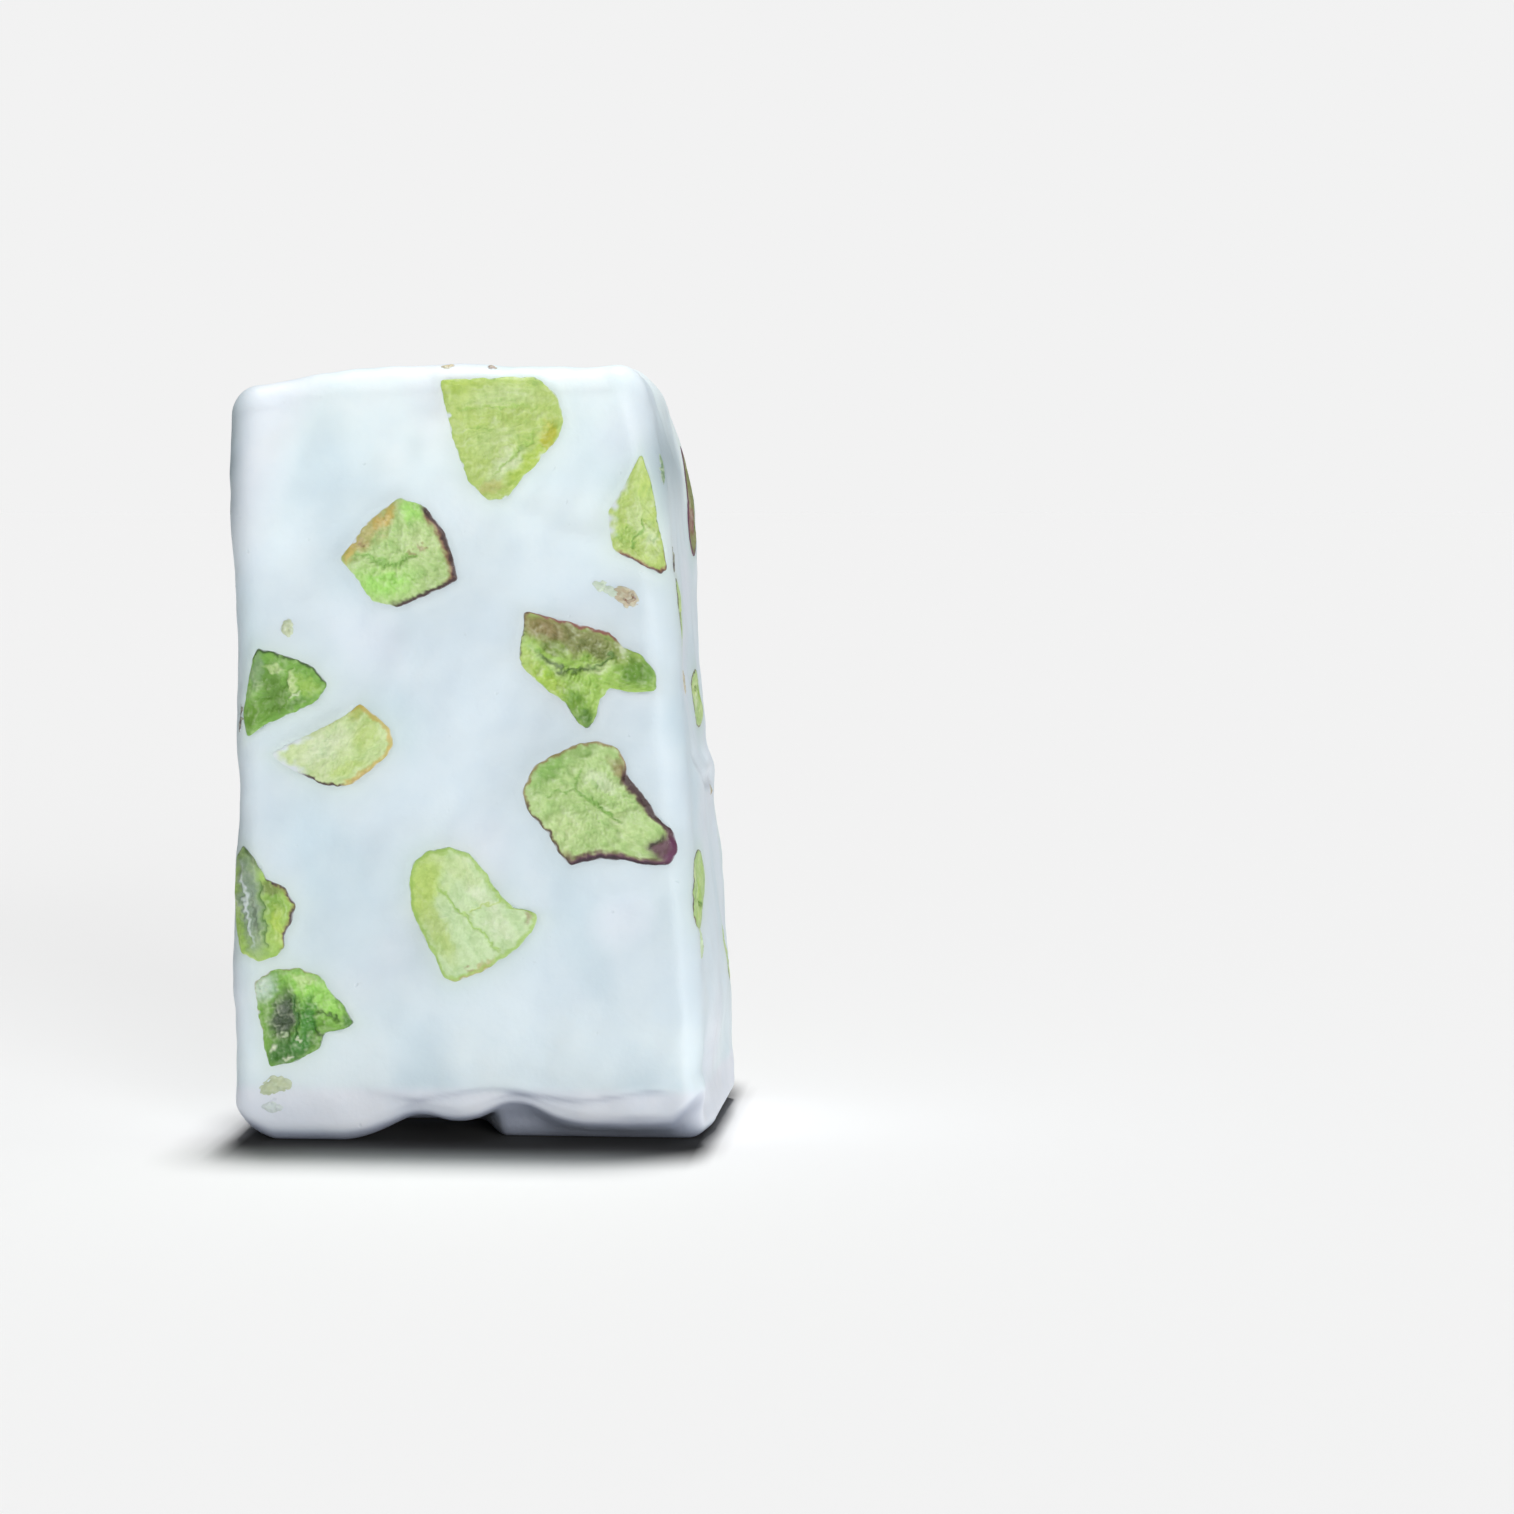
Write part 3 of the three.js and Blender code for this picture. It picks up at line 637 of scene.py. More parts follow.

# How each kernel on the front is painted, in order. Places are across and up the front face.
# dabs: colour, place, half length and half width, turn, strength, rise.
# cracks: colour, from, to, half width, depth; each is sunk and painted darker, partly as painted shade in
# the crease. rims: colour, from and to in degrees, width, strength.
# veil: from and to in degrees, width of the white film over the rim.
looks = {
    "front_1": dict(
        base="lime",
        grain=(12, 0.55),
        crumb=0.35,
        dabs=[
            ("citron", (-0.6, 50.6), (1.7, 0.9), -8, 0.45, 0),
            ("pale", (2.3, 49.8), (2.6, 0.8), 3, 0.6, 0),
            ("pale", (1.9, 47.0), (1.6, 1.0), 20, 0.45, 0),
            ("cream", (2.6, 45.4), (1.5, 0.7), 42, 0.55, 0.04),
            ("citron", (4.2, 45.5), (2.6, 0.5), 50, 0.8, 0),
            ("gold", (5.4, 47.3), (1.0, 0.55), 78, 0.85, -0.03),
            ("tan", (1.4, 43.8), (0.9, 0.5), 25, 0.4, 0),
        ],
        cracks=[
            ("fresh", (1.7, 44.6), (4.7, 47.6), 0.10, 0.06),
            ("fresh", (-0.5, 49.0), (4.4, 49.2), 0.08, 0.03),
        ],
        rims=[("fresh", 70, 300, 0.25, 0.5), ("deep", 50, 100, 0.16, 0.8)],
        veil=(120, 330, 0.22),
    ),
    "front_2": dict(
        base="sprout",
        grain=(60, 0.3),
        crumb=0.75,
        dabs=[
            ("tan", (-6.6, 41.0), (2.5, 0.85), 45, 0.7, 0),
            ("amber", (-5.6, 41.8), (1.1, 0.4), 48, 0.75, 0),
            ("amber", (-7.9, 39.6), (0.8, 0.4), 62, 0.7, 0),
            ("umber", (-7.2, 40.4), (0.3, 0.2), 30, 0.7, -0.05),
            ("spring", (-3.7, 42.3), (0.9, 0.6), -50, 0.8, 0.03),
            ("pale", (-3.0, 40.2), (1.3, 1.1), 0, 0.55, 0),
            ("spring", (-5.7, 37.6), (2.1, 1.15), 8, 0.9, 0.10),
            ("pale", (-5.5, 38.3), (1.3, 0.25), 4, 0.5, 0.05),
            ("umber", (-3.1, 39.9), (0.35, 0.13), -40, 0.7, -0.04),
            ("umber", (-3.8, 39.5), (0.25, 0.12), 30, 0.6, -0.04),
        ],
        cracks=[
            ("leaf", (-7.6, 39.4), (-5.2, 38.75), 0.14, 0.14),
            ("leaf", (-5.2, 38.75), (-3.4, 39.5), 0.11, 0.10),
        ],
        rims=[
            ("umber", 58, -30, 0.9, 0.55),
            ("rosewood", 60, -32, 0.7, 0.8),
            ("bark", 66, -100, 0.52, 1),
        ],
        veil=(130, 230, 0.18),
    ),
    "front_3": dict(
        base="lime",
        grain=(80, 0.5),
        crumb=0.55,
        dabs=[
            ("pale", (11.3, 42.4), (1.7, 0.6), 76, 0.6, 0),
            ("cream", (12.1, 40.5), (0.9, 0.45), -60, 0.6, 0.05),
            ("fresh", (10.5, 40.8), (0.9, 0.5), 10, 0.5, -0.04),
            ("citron", (11.7, 43.8), (1.4, 0.35), 84, 0.5, 0),
        ],
        cracks=[("leaf", (10.7, 39.7), (11.7, 41.6), 0.10, 0.08)],
        rims=[
            ("deep", 88, -55, 0.17, 0.9),
            ("rosewood", -50, -128, 0.42, 0.9),
            ("bark", -52, -120, 0.28, 0.8),
        ],
        veil=(105, 205, 0.75),
    ),
    "front_4": dict(
        base="fresh",
        grain=(-20, 0.3),
        crumb=0.9,
        dabs=[
            ("lime", (3.8, 32.0), (1.3, 0.7), -70, 0.8, 0),
            ("citron", (5.5, 30.9), (1.8, 0.6), -40, 0.55, 0.03),
            ("vivid", (7.2, 29.5), (1.4, 0.8), -60, 0.65, 0),
            ("deep", (7.9, 28.3), (0.8, 0.5), -80, 0.8, 0),
            ("vivid", (11.4, 31.6), (1.5, 0.95), -15, 0.95, -0.06),
            ("olive", (7.0, 34.0), (4.0, 1.2), -16, 1.0, -0.08),
            ("umber", (4.9, 34.6), (1.7, 0.8), -14, 0.6, 0),
            ("moss", (8.5, 33.0), (1.4, 0.5), -20, 0.6, 0),
            ("moss", (5.7, 33.1), (1.2, 0.25), -35, 0.5, 0),
            ("pale", (8.7, 31.9), (1.1, 0.42), 12, 0.8, 0.12),
            ("pale", (4.3, 33.0), (0.8, 0.3), -42, 0.7, 0.08),
            ("pale", (5.7, 31.9), (1.2, 0.3), -38, 0.6, 0.10),
            ("cream", (10.3, 33.1), (0.55, 0.25), -45, 0.6, 0.05),
        ],
        cracks=[
            ("shade", (4.6, 32.9), (6.3, 31.6), 0.16, 0.16),
            ("shade", (6.3, 31.6), (8.1, 31.9), 0.15, 0.16),
            ("deep", (8.1, 31.9), (9.7, 32.7), 0.12, 0.12),
        ],
        rims=[
            ("rosewood", 140, 30, 0.42, 0.9),
            ("bark", 178, 128, 0.26, 0.7),
            ("deep", 20, -20, 0.18, 0.6),
            ("shade", -70, -110, 0.2, 0.7),
        ],
        veil=(180, 230, 0.15),
    ),
    "front_5": dict(
        base="sprout",
        grain=(-35, 0.4),
        crumb=0.8,
        dabs=[
            ("leaf", (5.4, 25.2), (1.7, 0.8), 42, 0.75, -0.06),
            ("vivid", (7.7, 26.4), (1.0, 0.5), 30, 0.5, 0),
            ("pale", (6.5, 21.2), (1.4, 1.0), 0, 0.65, 0.03),
            ("pale", (10.5, 21.3), (1.5, 0.6), -40, 0.6, 0.03),
            ("cream", (8.8, 24.4), (1.2, 0.5), -30, 0.5, 0.05),
            ("rust", (9.9, 25.3), (0.7, 0.4), -60, 0.6, -0.05),
            ("umber", (10.4, 24.3), (0.35, 0.2), -60, 0.7, 0),
        ],
        cracks=[
            ("leaf", (7.1, 23.8), (10.3, 21.7), 0.13, 0.14),
            ("leaf", (4.2, 23.5), (7.1, 23.8), 0.08, 0.06),
            ("leaf", (7.1, 23.8), (7.5, 25.4), 0.08, 0.06),
        ],
        rims=[
            ("umber", 50, 235, 0.36, 0.8),
            ("rust", 62, -125, 0.92, 0.55),
            ("plum", 50, -118, 0.86, 0.9),
            ("bark", 52, -18, 0.85, 0.95),
            ("ink", -35, -118, 0.56, 0.85),
            ("bark", 175, 245, 0.34, 0.85),
        ],
        late=[
            ("plum", (13.1, 19.9), (1.1, 0.95), 0, 0.9, 0.10),
            ("ink", (12.5, 20.3), (0.7, 0.14), 60, 0.7, -0.08),
        ],
        veil=(0, 0, 0),
    ),
    "front_6": dict(
        base="leaf",
        grain=(75, 0.25),
        crumb=0.5,
        dabs=[
            ("sage", (-14.2, 31.7), (1.4, 0.4), 82, 0.55, 0),
            ("vivid", (-14.3, 28.8), (1.3, 0.7), 50, 0.8, 0.02),
            ("bottle", (-13.1, 30.3), (1.7, 0.95), -72, 0.95, -0.14),
            ("fresh", (-10.8, 30.7), (1.0, 0.6), -18, 0.8, 0.08),
            ("pale", (-11.8, 30.9), (0.9, 0.22), 82, 0.75, 0.10),
            ("cream", (-11.6, 30.2), (0.35, 0.2), 40, 0.7, 0.10),
            ("pale", (-13.0, 31.8), (0.9, 0.18), -14, 0.6, 0.06),
            ("deep", (-11.5, 29.5), (0.9, 0.3), 28, 0.6, -0.06),
        ],
        cracks=[],
        rims=[("shade", 130, 5, 0.36, 0.9), ("deep", 5, -70, 0.16, 0.7)],
        veil=(0, 0, 0),
    ),
    "front_7": dict(
        base="pale",
        grain=(35, 0.4),
        crumb=0.3,
        dabs=[
            ("cream", (-9.8, 26.6), (2.1, 1.0), 32, 0.6, 0),
            ("lime", (-6.8, 27.4), (1.5, 0.7), 60, 0.7, 0),
            ("pear", (-7.3, 29.2), (0.9, 0.5), 60, 0.9, 0),
            ("citron", (-8.1, 25.2), (1.6, 0.4), 20, 0.4, 0),
        ],
        cracks=[],
        rims=[
            ("amber", 70, -80, 0.55, 0.75),
            ("tan", -30, -110, 0.3, 0.8),
            ("pear", 70, 150, 0.2, 0.6),
            ("bark", -84, -160, 0.34, 1),
        ],
        veil=(160, 215, 1.1),
    ),
    "front_8": dict(
        base="mint",
        grain=(-48, 0.3),
        crumb=0.25,
        dabs=[
            ("citron", (-3.3, 17.2), (3.2, 1.5), 68, 0.75, 0.02),
            ("lime", (-2.0, 14.3), (2.2, 0.75), -62, 0.75, 0),
            ("pale", (-0.5, 18.4), (1.6, 0.8), -40, 0.7, 0.03),
            ("cream", (1.1, 16.4), (1.8, 0.5), -42, 0.6, 0.04),
            ("cream", (2.1, 14.5), (1.3, 0.6), -30, 0.5, 0.02),
            ("tan", (0.9, 12.1), (0.9, 0.25), 22, 0.6, 0),
            ("rust", (0.2, 11.9), (0.4, 0.12), 5, 0.6, -0.03),
            ("umber", (4.1, 15.4), (0.6, 0.25), 65, 0.6, 0),
        ],
        cracks=[
            ("fresh", (-2.2, 17.4), (2.2, 12.9), 0.12, 0.09),
            ("lime", (-0.1, 15.6), (2.4, 16.6), 0.08, 0.03),
        ],
        rims=[("fresh", 0, 360, 0.55, 0.75), ("leaf", 20, 140, 0.2, 0.5), ("tan", -62, -100, 0.3, 0.6)],
        veil=(0, 0, 0),
    ),
    "front_9": dict(
        base="fresh",
        grain=(-80, 0.35),
        crumb=0.3,
        dabs=[
            ("vivid", (-13.2, 16.0), (1.5, 0.6), -84, 0.6, 0),
            ("citron", (-12.9, 14.6), (1.4, 0.5), -80, 0.7, 0.03),
            ("moss", (-13.4, 17.1), (0.9, 0.4), -10, 0.7, 0),
            ("sage", (-14.8, 16.3), (3.9, 0.9), -82, 1.0, 0.10),
            ("white", (-15.1, 16.6), (1.9, 0.16), -82, 0.6, 0.05),
            ("white", (-14.7, 14.2), (1.0, 0.12), -78, 0.5, 0.05),
            ("slate", (-14.4, 15.2), (1.6, 0.14), -80, 0.5, -0.05),
            ("shade", (-14.8, 19.4), (1.1, 0.3), -60, 0.8, 0),
        ],
        cracks=[("deep", (-14.1, 17.6), (-13.7, 13.0), 0.10, 0.12)],
        rims=[
            ("shade", 180, 60, 0.2, 0.7),
            ("rust", 60, -62, 0.42, 0.6),
            ("bark", 76, -62, 0.28, 1),
            ("lime", -80, -120, 0.3, 0.6),
        ],
        veil=(0, 0, 0),
    ),
    "front_10": dict(
        base="leaf",
        grain=(80, 0.2),
        crumb=1.0,
        dabs=[
            ("spring", (-10.7, 10.3), (2.0, 1.0), -35, 0.95, 0.08),
            ("pale", (-11.1, 10.9), (0.9, 0.35), -20, 0.6, 0.04),
            ("spring", (-9.4, 9.0), (1.2, 0.8), -50, 0.8, 0.05),
            ("white", (-13.9, 10.4), (1.1, 0.7), 60, 0.6, 0),
            ("grass", (-11.0, 8.4), (1.4, 0.6), 86, 0.9, -0.06),
            ("slate", (-12.6, 8.5), (1.7, 0.95), 82, 1.0, -0.22),
            ("forest", (-12.2, 6.2), (1.9, 0.9), 20, 0.8, -0.08),
            ("grass", (-11.4, 6.8), (0.9, 0.6), 40, 0.8, 0.02),
            ("cream", (-13.3, 6.3), (0.3, 0.2), 0, 0.9, 0.12),
            ("cream", (-12.7, 7.3), (0.22, 0.16), 30, 0.9, 0.10),
            ("cream", (-12.4, 5.7), (0.2, 0.15), 0, 0.8, 0.10),
            ("cream", (-11.6, 7.0), (0.16, 0.12), 0, 0.8, 0.08),
            ("forest", (-8.2, 8.2), (0.6, 0.4), -50, 0.6, 0),
        ],
        cracks=[
            ("shade", (-10.4, 9.0), (-8.9, 8.2), 0.14, 0.14),
            ("shade", (-10.7, 7.9), (-9.7, 6.9), 0.12, 0.12),
            ("forest", (-11.8, 9.8), (-11.7, 7.2), 0.12, 0.12),
        ],
        rims=[
            ("umber", 150, 62, 0.22, 0.5),
            ("shade", 30, -60, 0.18, 0.6),
            ("tan", 150, 235, 0.18, 0.5),
        ],
        veil=(150, 200, 0.3),
    ),
}

# The other faces: each kernel shows one of these sides, dabbed by its own seeded dice.
sides = dict(
    flesh=dict(
        base="sprout",
        tones=["pale", "lime", "fresh", "cream"],
        grain=0.5,
        crumb=0.4,
        skin="bark",
        skinWidth=0.3,
    ),
    broken=dict(
        base="fresh",
        tones=["leaf", "pale", "vivid", "olive"],
        grain=0.3,
        crumb=0.9,
        skin="umber",
        skinWidth=0.25,
    ),
    dark=dict(
        base="leaf",
        tones=["bottle", "grass", "spring", "slate"],
        grain=0.3,
        crumb=0.7,
        skin="shade",
        skinWidth=0.25,
    ),
    skin=dict(
        base="olive",
        tones=["umber", "rosewood", "moss", "plum"],
        grain=0.6,
        crumb=0.3,
        skin="plum",
        skinWidth=0.7,
    ),
)
sideOf = dict(
    right_1="skin",
    right_2="flesh",
    right_3="flesh",
    right_4="flesh",
    right_5="flesh",
    left_1="flesh",
    left_2="dark",
    left_3="skin",
    left_4="broken",
    back_1="flesh",
    back_2="broken",
    back_3="dark",
    back_4="flesh",
    back_5="broken",
    back_6="skin",
    back_7="flesh",
    back_8="flesh",
    back_9="dark",
    top_1="flesh",
    top_2="broken",
    top_3="dark",
    foot_1="flesh",
    foot_2="broken",
)

# Crumbs of kernel, too small for pieces of their own: colour, face, place, half length and half width,
# turn, share of white film over it.
crumbs = [
    ("pear", "front", (-12.1, 34.5), (0.5, 0.3), 75, 0.4),
    ("tan", "front", (10.6, 36.5), (0.95, 0.5), -22, 0.25),
    ("rust", "front", (10.7, 36.5), (0.5, 0.22), -22, 0.05),
    ("sprout", "front", (9.1, 37.2), (1.1, 0.28), -24, 0.55),
    ("pear", "front", (-13.1, 3.9), (1.05, 0.5), 8, 0.4),
    ("sprout", "front", (-13.4, 2.4), (0.6, 0.25), 0, 0.88),
    ("bark", "front", (-15.5, 28.6), (1.7, 0.13), 84, 0.1),
    ("tan", "top", (-1.5, -8.9), (0.4, 0.14), 8, 0.2),
    ("rust", "top", (1.4, -8.9), (0.3, 0.12), -5, 0.2),
    ("deep", "right", (-8.7, 45.0), (2.6, 0.16), 84, 0.2),
    ("bark", "right", (-7.6, 39.0), (2.2, 0.13), 80, 0.1),
    ("sprout", "right", (-8.4, 13.6), (1.0, 0.45), 70, 0.3),
]
crumbDice = dict(
    seed=5,
    rimSeed=50,
    sheetSeed=900,
    paintSeed=700,
    count=34,
    faces=["back", "left", "right", "top"],
    tones=["tan", "umber", "sprout", "leaf", "bark", "pear"],
    within=0.8,  # share of a face's width
    heights=(6.0, 5.0),  # least height above the foot and below the top
    apart=1.2,  # from a kernel's rim
    size=(0.22, 0.7),
    thin=(0.4, 0.9),  # width as a share of the length
    film=(0.1, 0.5),
    corners=24,
    uneven=0.2,
    unevenSize=2.6,
    ragged=0.06,
    around=40,
    rings=10,
    dome=0.10,
    skirt=0.4,
)


def spreadSheet(seat, around, rings, ragged, seed):
    # flat rings of points: radius = share of the outline, which wanders a little; they crowd at the rim
    angle = np.arange(around) / around * 2 * pi
    way = np.stack([np.cos(angle), np.sin(angle)], axis=-1)
    plain = outlineAt(seat, angle)
    rim = plain[:, None] * way
    wander = 0.7 * ripples(rim, 1.3, seed) + 0.3 * ripples(rim, 0.45, seed + 1)
    outline = plain + kernel["overlap"] + ragged * wander
    share = 1 - (1 - np.arange(1, rings + 1) / rings) ** kernel["crowding"]
    radius = share[:, None] * outline
    flat = np.concatenate([[[0.0, 0.0]], (radius[..., None] * way).reshape(-1, 2)])
    edge = np.concatenate([[outline.mean()], (outline - radius).ravel()])
    turn = np.concatenate([[0.0], np.tile(angle, rings)])
    return dict(seat=seat, flat=flat, edge=edge, turn=turn, around=around, rings=rings)


def ringFaces(around, rings, closed):
    # a fan at the middle, quads between the rings and, on a closed body, a fan at the far pole
    first = 1 + np.arange(around)
    after = 1 + (np.arange(around) + 1) % around
    fan = np.stack([np.zeros(around, int), first, after], axis=-1)
    step = (np.arange(rings - 1) * around)[:, None]
    quads = np.stack([first + step, first + step + around, after + step + around, after + step], axis=-1)
    faces = fan.tolist() + quads.reshape(-1, 4).tolist()
    if closed:
        last = (rings - 1) * around
        pole = np.full(around, 1 + rings * around)
        faces += np.stack([first + last, pole, after + last], axis=-1).tolist()
    return faces


def placed(seat, flat, height):
    height = np.broadcast_to(height, len(flat))[:, None]
    level = seat["middle"] + flat[:, :1] * seat["across"] + flat[:, 1:] * seat["up"]
    return level + height * seat["outward"]


def dropOnSkin(sheets):
    # every sheet starts flat, well outside the block, and is let down straight on to its skin
    points, faces, count = [], [], 0
    for sheet in sheets:
        points.append(placed(sheet["seat"], sheet["flat"], kernel["reach"]))
        rings = ringFaces(sheet["around"], sheet["rings"], False)
        faces += [[corner + count for corner in face] for face in rings]
        count += len(sheet["flat"])
    probe = newMesh("probe", np.concatenate(points), faces)
    wrap = probe.modifiers.new("drop", "SHRINKWRAP")
    wrap.wrap_method, wrap.target = "PROJECT", nougat
    wrap.use_positive_direction, wrap.use_negative_direction = False, True
    dropped = probe.evaluated_get(bpy.context.evaluated_depsgraph_get())
    landed = np.split(meshPoints(dropped.to_mesh()), np.cumsum([len(p) for p in points])[:-1])
    for sheet, skin in zip(sheets, landed):
        seat = sheet["seat"]
        sheet["skin"] = (skin - seat["middle"]) @ seat["outward"]
        missed = sheet["skin"] > kernel["reach"] - kernel["miss"]
        sheet["skin"][missed] = sheet["skin"][~missed].min()
        if missed.any():
            print("a sheet hangs over the edge by", missed.sum(), "points")
        sheet["place"] = placed(seat, sheet["flat"], sheet["skin"])
    bpy.data.objects.remove(probe)


def spot(place, at, size, turn):
    # 1 inside an oval, falling softly to 0 outside it
    away = place - np.array(at)
    c, s = cos(radians(turn)), sin(radians(turn))
    along, aside = away @ np.array([c, s]), away @ np.array([-s, c])
    return smooth(1.4, 0.4, np.hypot(along / size[0], aside / size[1]))


def sector(turn, start, end):
    # 1 where the direction lies between two angles in degrees, soft over 14 degrees
    low, high = sorted((start, end))
    if high - low >= 360:
        return np.ones_like(turn)
    middle, half = (low + high) / 2, (high - low) / 2
    away = np.abs((np.degrees(turn) - middle + 180) % 360 - 180)
    return smooth(half + 7, half - 7, away)


def blended(colours, name, share):
    return lerp(colours, palette[name], np.clip(share, 0, 1)[:, None])


nutPaint = dict(
    warps=[(1.3, 0.10, 3), (0.4, 0.05, 5)],  # size, distance and seed of the wandering of all painted lines
    fine=0.30,  # sizes of the grain, the lumps and the hills
    lumps=0.75,
    hills=1.9,
    bumps=(0.050, 0.045, 0.018),  # how far hills, lumps and grain rise
    mottle=(0.05, 0.07, 0.05),  # and how far they change the colour: painted shade in the hollows and painted light on the rises, over the flesh's own mottle
    darker=(0.9, 0.55, 1.0),  # how much red, green and blue a dark patch in a hollow loses, as painted shade
    fibres=0.32,
    stretch=7.0,  # fibres are this many times as long
    fibreTone=0.13,
    fibreRise=0.012,
    skinRise=0.03,
    film=(0.20, 0.06),  # the white film over every rim fades out between these distances
)


def paintKernel(sheet, place, look, seed):
    # dabs, cracks, grain and rims over the base colour; relief gathers what each of them raises or sinks,
    # and the flesh is painted darker in its hollows and lighter on its rises, as painted shade and light
    edge, turn = sheet["edge"], sheet["turn"]
    wandered = place
    for size, far, extra in nutPaint["warps"]:
        both = [ripples(place, size, seed + extra), ripples(place, size, seed + extra + 1)]
        wandered = wandered + far * np.stack(both, axis=-1)
    colours = np.tile(palette[look["base"]], (len(place), 1))
    relief = np.zeros(len(place))
    fine = ripples(place, nutPaint["fine"], seed + 7, 40)
    lumps = ripples(place, nutPaint["lumps"], seed + 8, 40)
    hills = ripples(place, nutPaint["hills"], seed + 9)
    crumb = look["crumb"]
    hillRise, lumpRise, fineRise = nutPaint["bumps"]
    relief += crumb * (hillRise * hills + lumpRise * lumps + fineRise * fine)
    for name, at, size, tilt, strength, rise in look["dabs"]:
        share = spot(wandered, at, size, tilt)
        colours = blended(colours, name, strength * share)
        relief += rise * share
    grainTurn, grainStrength = look["grain"]
    c, s = cos(radians(grainTurn)), sin(radians(grainTurn))
    long = nutPaint["stretch"]
    fibres = ripples(wandered @ np.array([[c / long, -s], [s / long, c]]), nutPaint["fibres"], seed + 10, 40)
    # painted shade and light: the tone follows the hills, lumps, grain and fibres that the relief raises,
    # over the flesh's own mottle
    hillTone, lumpTone, fineTone = nutPaint["mottle"]
    tone = grainStrength * nutPaint["fibreTone"] * fibres
    tone = tone + crumb * (lumpTone * lumps + fineTone * fine) + hillTone * hills
    colours = blended(colours, "cream", 1.2 * np.clip(tone, 0, 1))
    colours = colours * (1 - np.array(nutPaint["darker"]) * np.clip(-tone, 0, 0.6)[:, None])
    relief += nutPaint["fibreRise"] * grainStrength * fibres
    # a crack is sunk and painted darker, partly as painted shade in the crease
    for name, start, end, half, deep in look["cracks"]:
        aside, along = beside(wandered, start, end)
        share = hill(0, half, aside) * smooth(-0.08, 0.1, along) * smooth(1.08, 0.9, along)
        colours = blended(colours, name, 0.75 * share)
        relief -= deep * share
    for name, start, end, width, strength in look["rims"]:
        ragged = edge + 0.05 * lumps + 0.03 * fine - kernel["dipWidth"] * 0.6
        share = smooth(width, 0.45 * width, ragged) * sector(turn, start, end)
        colours = blended(colours, name, strength * share)
        relief += nutPaint["skinRise"] * share
    for name, at, size, tilt, strength, rise in look.get("late", []):
        share = spot(wandered, at, size, tilt)
        colours = blended(colours, name, strength * share)
        relief += rise * share
    start, end, width = look["veil"]
    veil = 0.75 * smooth(*nutPaint["film"], edge - 0.10 + 0.03 * lumps)
    if width:
        film = smooth(width, 0.2 * width, edge + 0.12 * lumps) * sector(turn, start, end)
        veil = np.maximum(veil, 0.92 * film)
    return colours, relief, veil


sideDice = dict(  # shares of a kernel's radius, degrees and strengths
    seed=40,
    dabs=7,
    spread=0.65,
    length=(0.25, 0.6),
    width=(0.12, 0.32),
    tilt=(-30, 30),
    strength=(0.5, 0.9),
    rise=(-0.08, 0.08),
    crackSpread=0.7,
    skinTurn=(120, 230),
    veilTurn=(240, 310),
    veilWidth=(0.2, 0.6),
)


def sideLook(sheet, kind, seed):
    # a look for a hidden kernel: dabs and cracks thrown by dice within its outline, its skin along one side
    dice = np.random.default_rng(seed)
    side = sides[kind]
    radius = np.hypot(*sheet["seat"]["corners"].T).mean()
    many, spread = sideDice["dabs"], sideDice["spread"]
    throw = dice.uniform(-spread, spread, (many, 2)) * radius
    sizes = [dice.uniform(*sideDice["length"], many), dice.uniform(*sideDice["width"], many)]
    sizes = np.stack(sizes, axis=-1) * radius
    skinFrom = dice.uniform(0, 360)
    turn = dice.uniform(0, 180)
    dabs = []
    for number, (at, size) in enumerate(zip(throw, sizes)):
        tilt, strength, rise = (dice.uniform(*sideDice[what]) for what in ("tilt", "strength", "rise"))
        dabs.append((side["tones"][number % 4], tuple(at), tuple(size), turn + tilt, strength, rise))
    ends = dice.uniform(-sideDice["crackSpread"], sideDice["crackSpread"], (2, 4)) * radius
    cracks = [("deep", tuple(e[:2]), tuple(e[2:]), 0.10, 0.10) for e in ends]
    rims = [
        (side["skin"], skinFrom, skinFrom + dice.uniform(*sideDice["skinTurn"]), side["skinWidth"], 0.95),
        ("umber", skinFrom + 180, skinFrom + 340, 0.2, 0.6),
    ]
    start, end = sideDice["veilTurn"]
    veil = (skinFrom + start, skinFrom + end, dice.uniform(*sideDice["veilWidth"]))
    look = dict(base=side["base"], grain=(turn, side["grain"]), crumb=side["crumb"])
    return dict(**look, dabs=dabs, cracks=cracks, rims=rims, veil=veil)


def buildKernel(name, sheet, colours, relief, veil):
    # the painted sheet on top, then skirt rings that draw in with depth, then the pole below
    seat, around = sheet["seat"], sheet["around"]
    edge = sheet["edge"]
    height = kernel["proud"] * smooth(0, kernel["proudWidth"], edge)
    height = height - kernel["dip"] * smooth(kernel["dipWidth"], 0, edge)
    inner = np.where(relief < 0, smooth(*kernel["sunk"], edge), smooth(*kernel["raised"], edge))
    top = placed(seat, sheet["flat"], sheet["skin"] + height + relief * inner)
    rim, rimHeight = sheet["flat"][-around:], (sheet["skin"] + height)[-around:]
    rings = [placed(seat, rim * (1 - inset), rimHeight - depth) for inset, depth in kernel["skirt"]]
    points = np.concatenate([top, *rings, rings[-1].mean(0)[None]])
    points[:, 2] = np.maximum(points[:, 2], kernel["leastHeight"])
    thing = newMesh(name, points, ringFaces(around, sheet["rings"] + len(rings), True))
    hidden = np.concatenate([np.tile(np.arange(len(top) - around, len(top)), len(rings)), [len(top) - 1]])
    every = np.concatenate([np.arange(len(top)), hidden])
    setColour(thing.data, "paint", colours[every])
    setValue(thing.data, "veil", veil[every])
    return thing


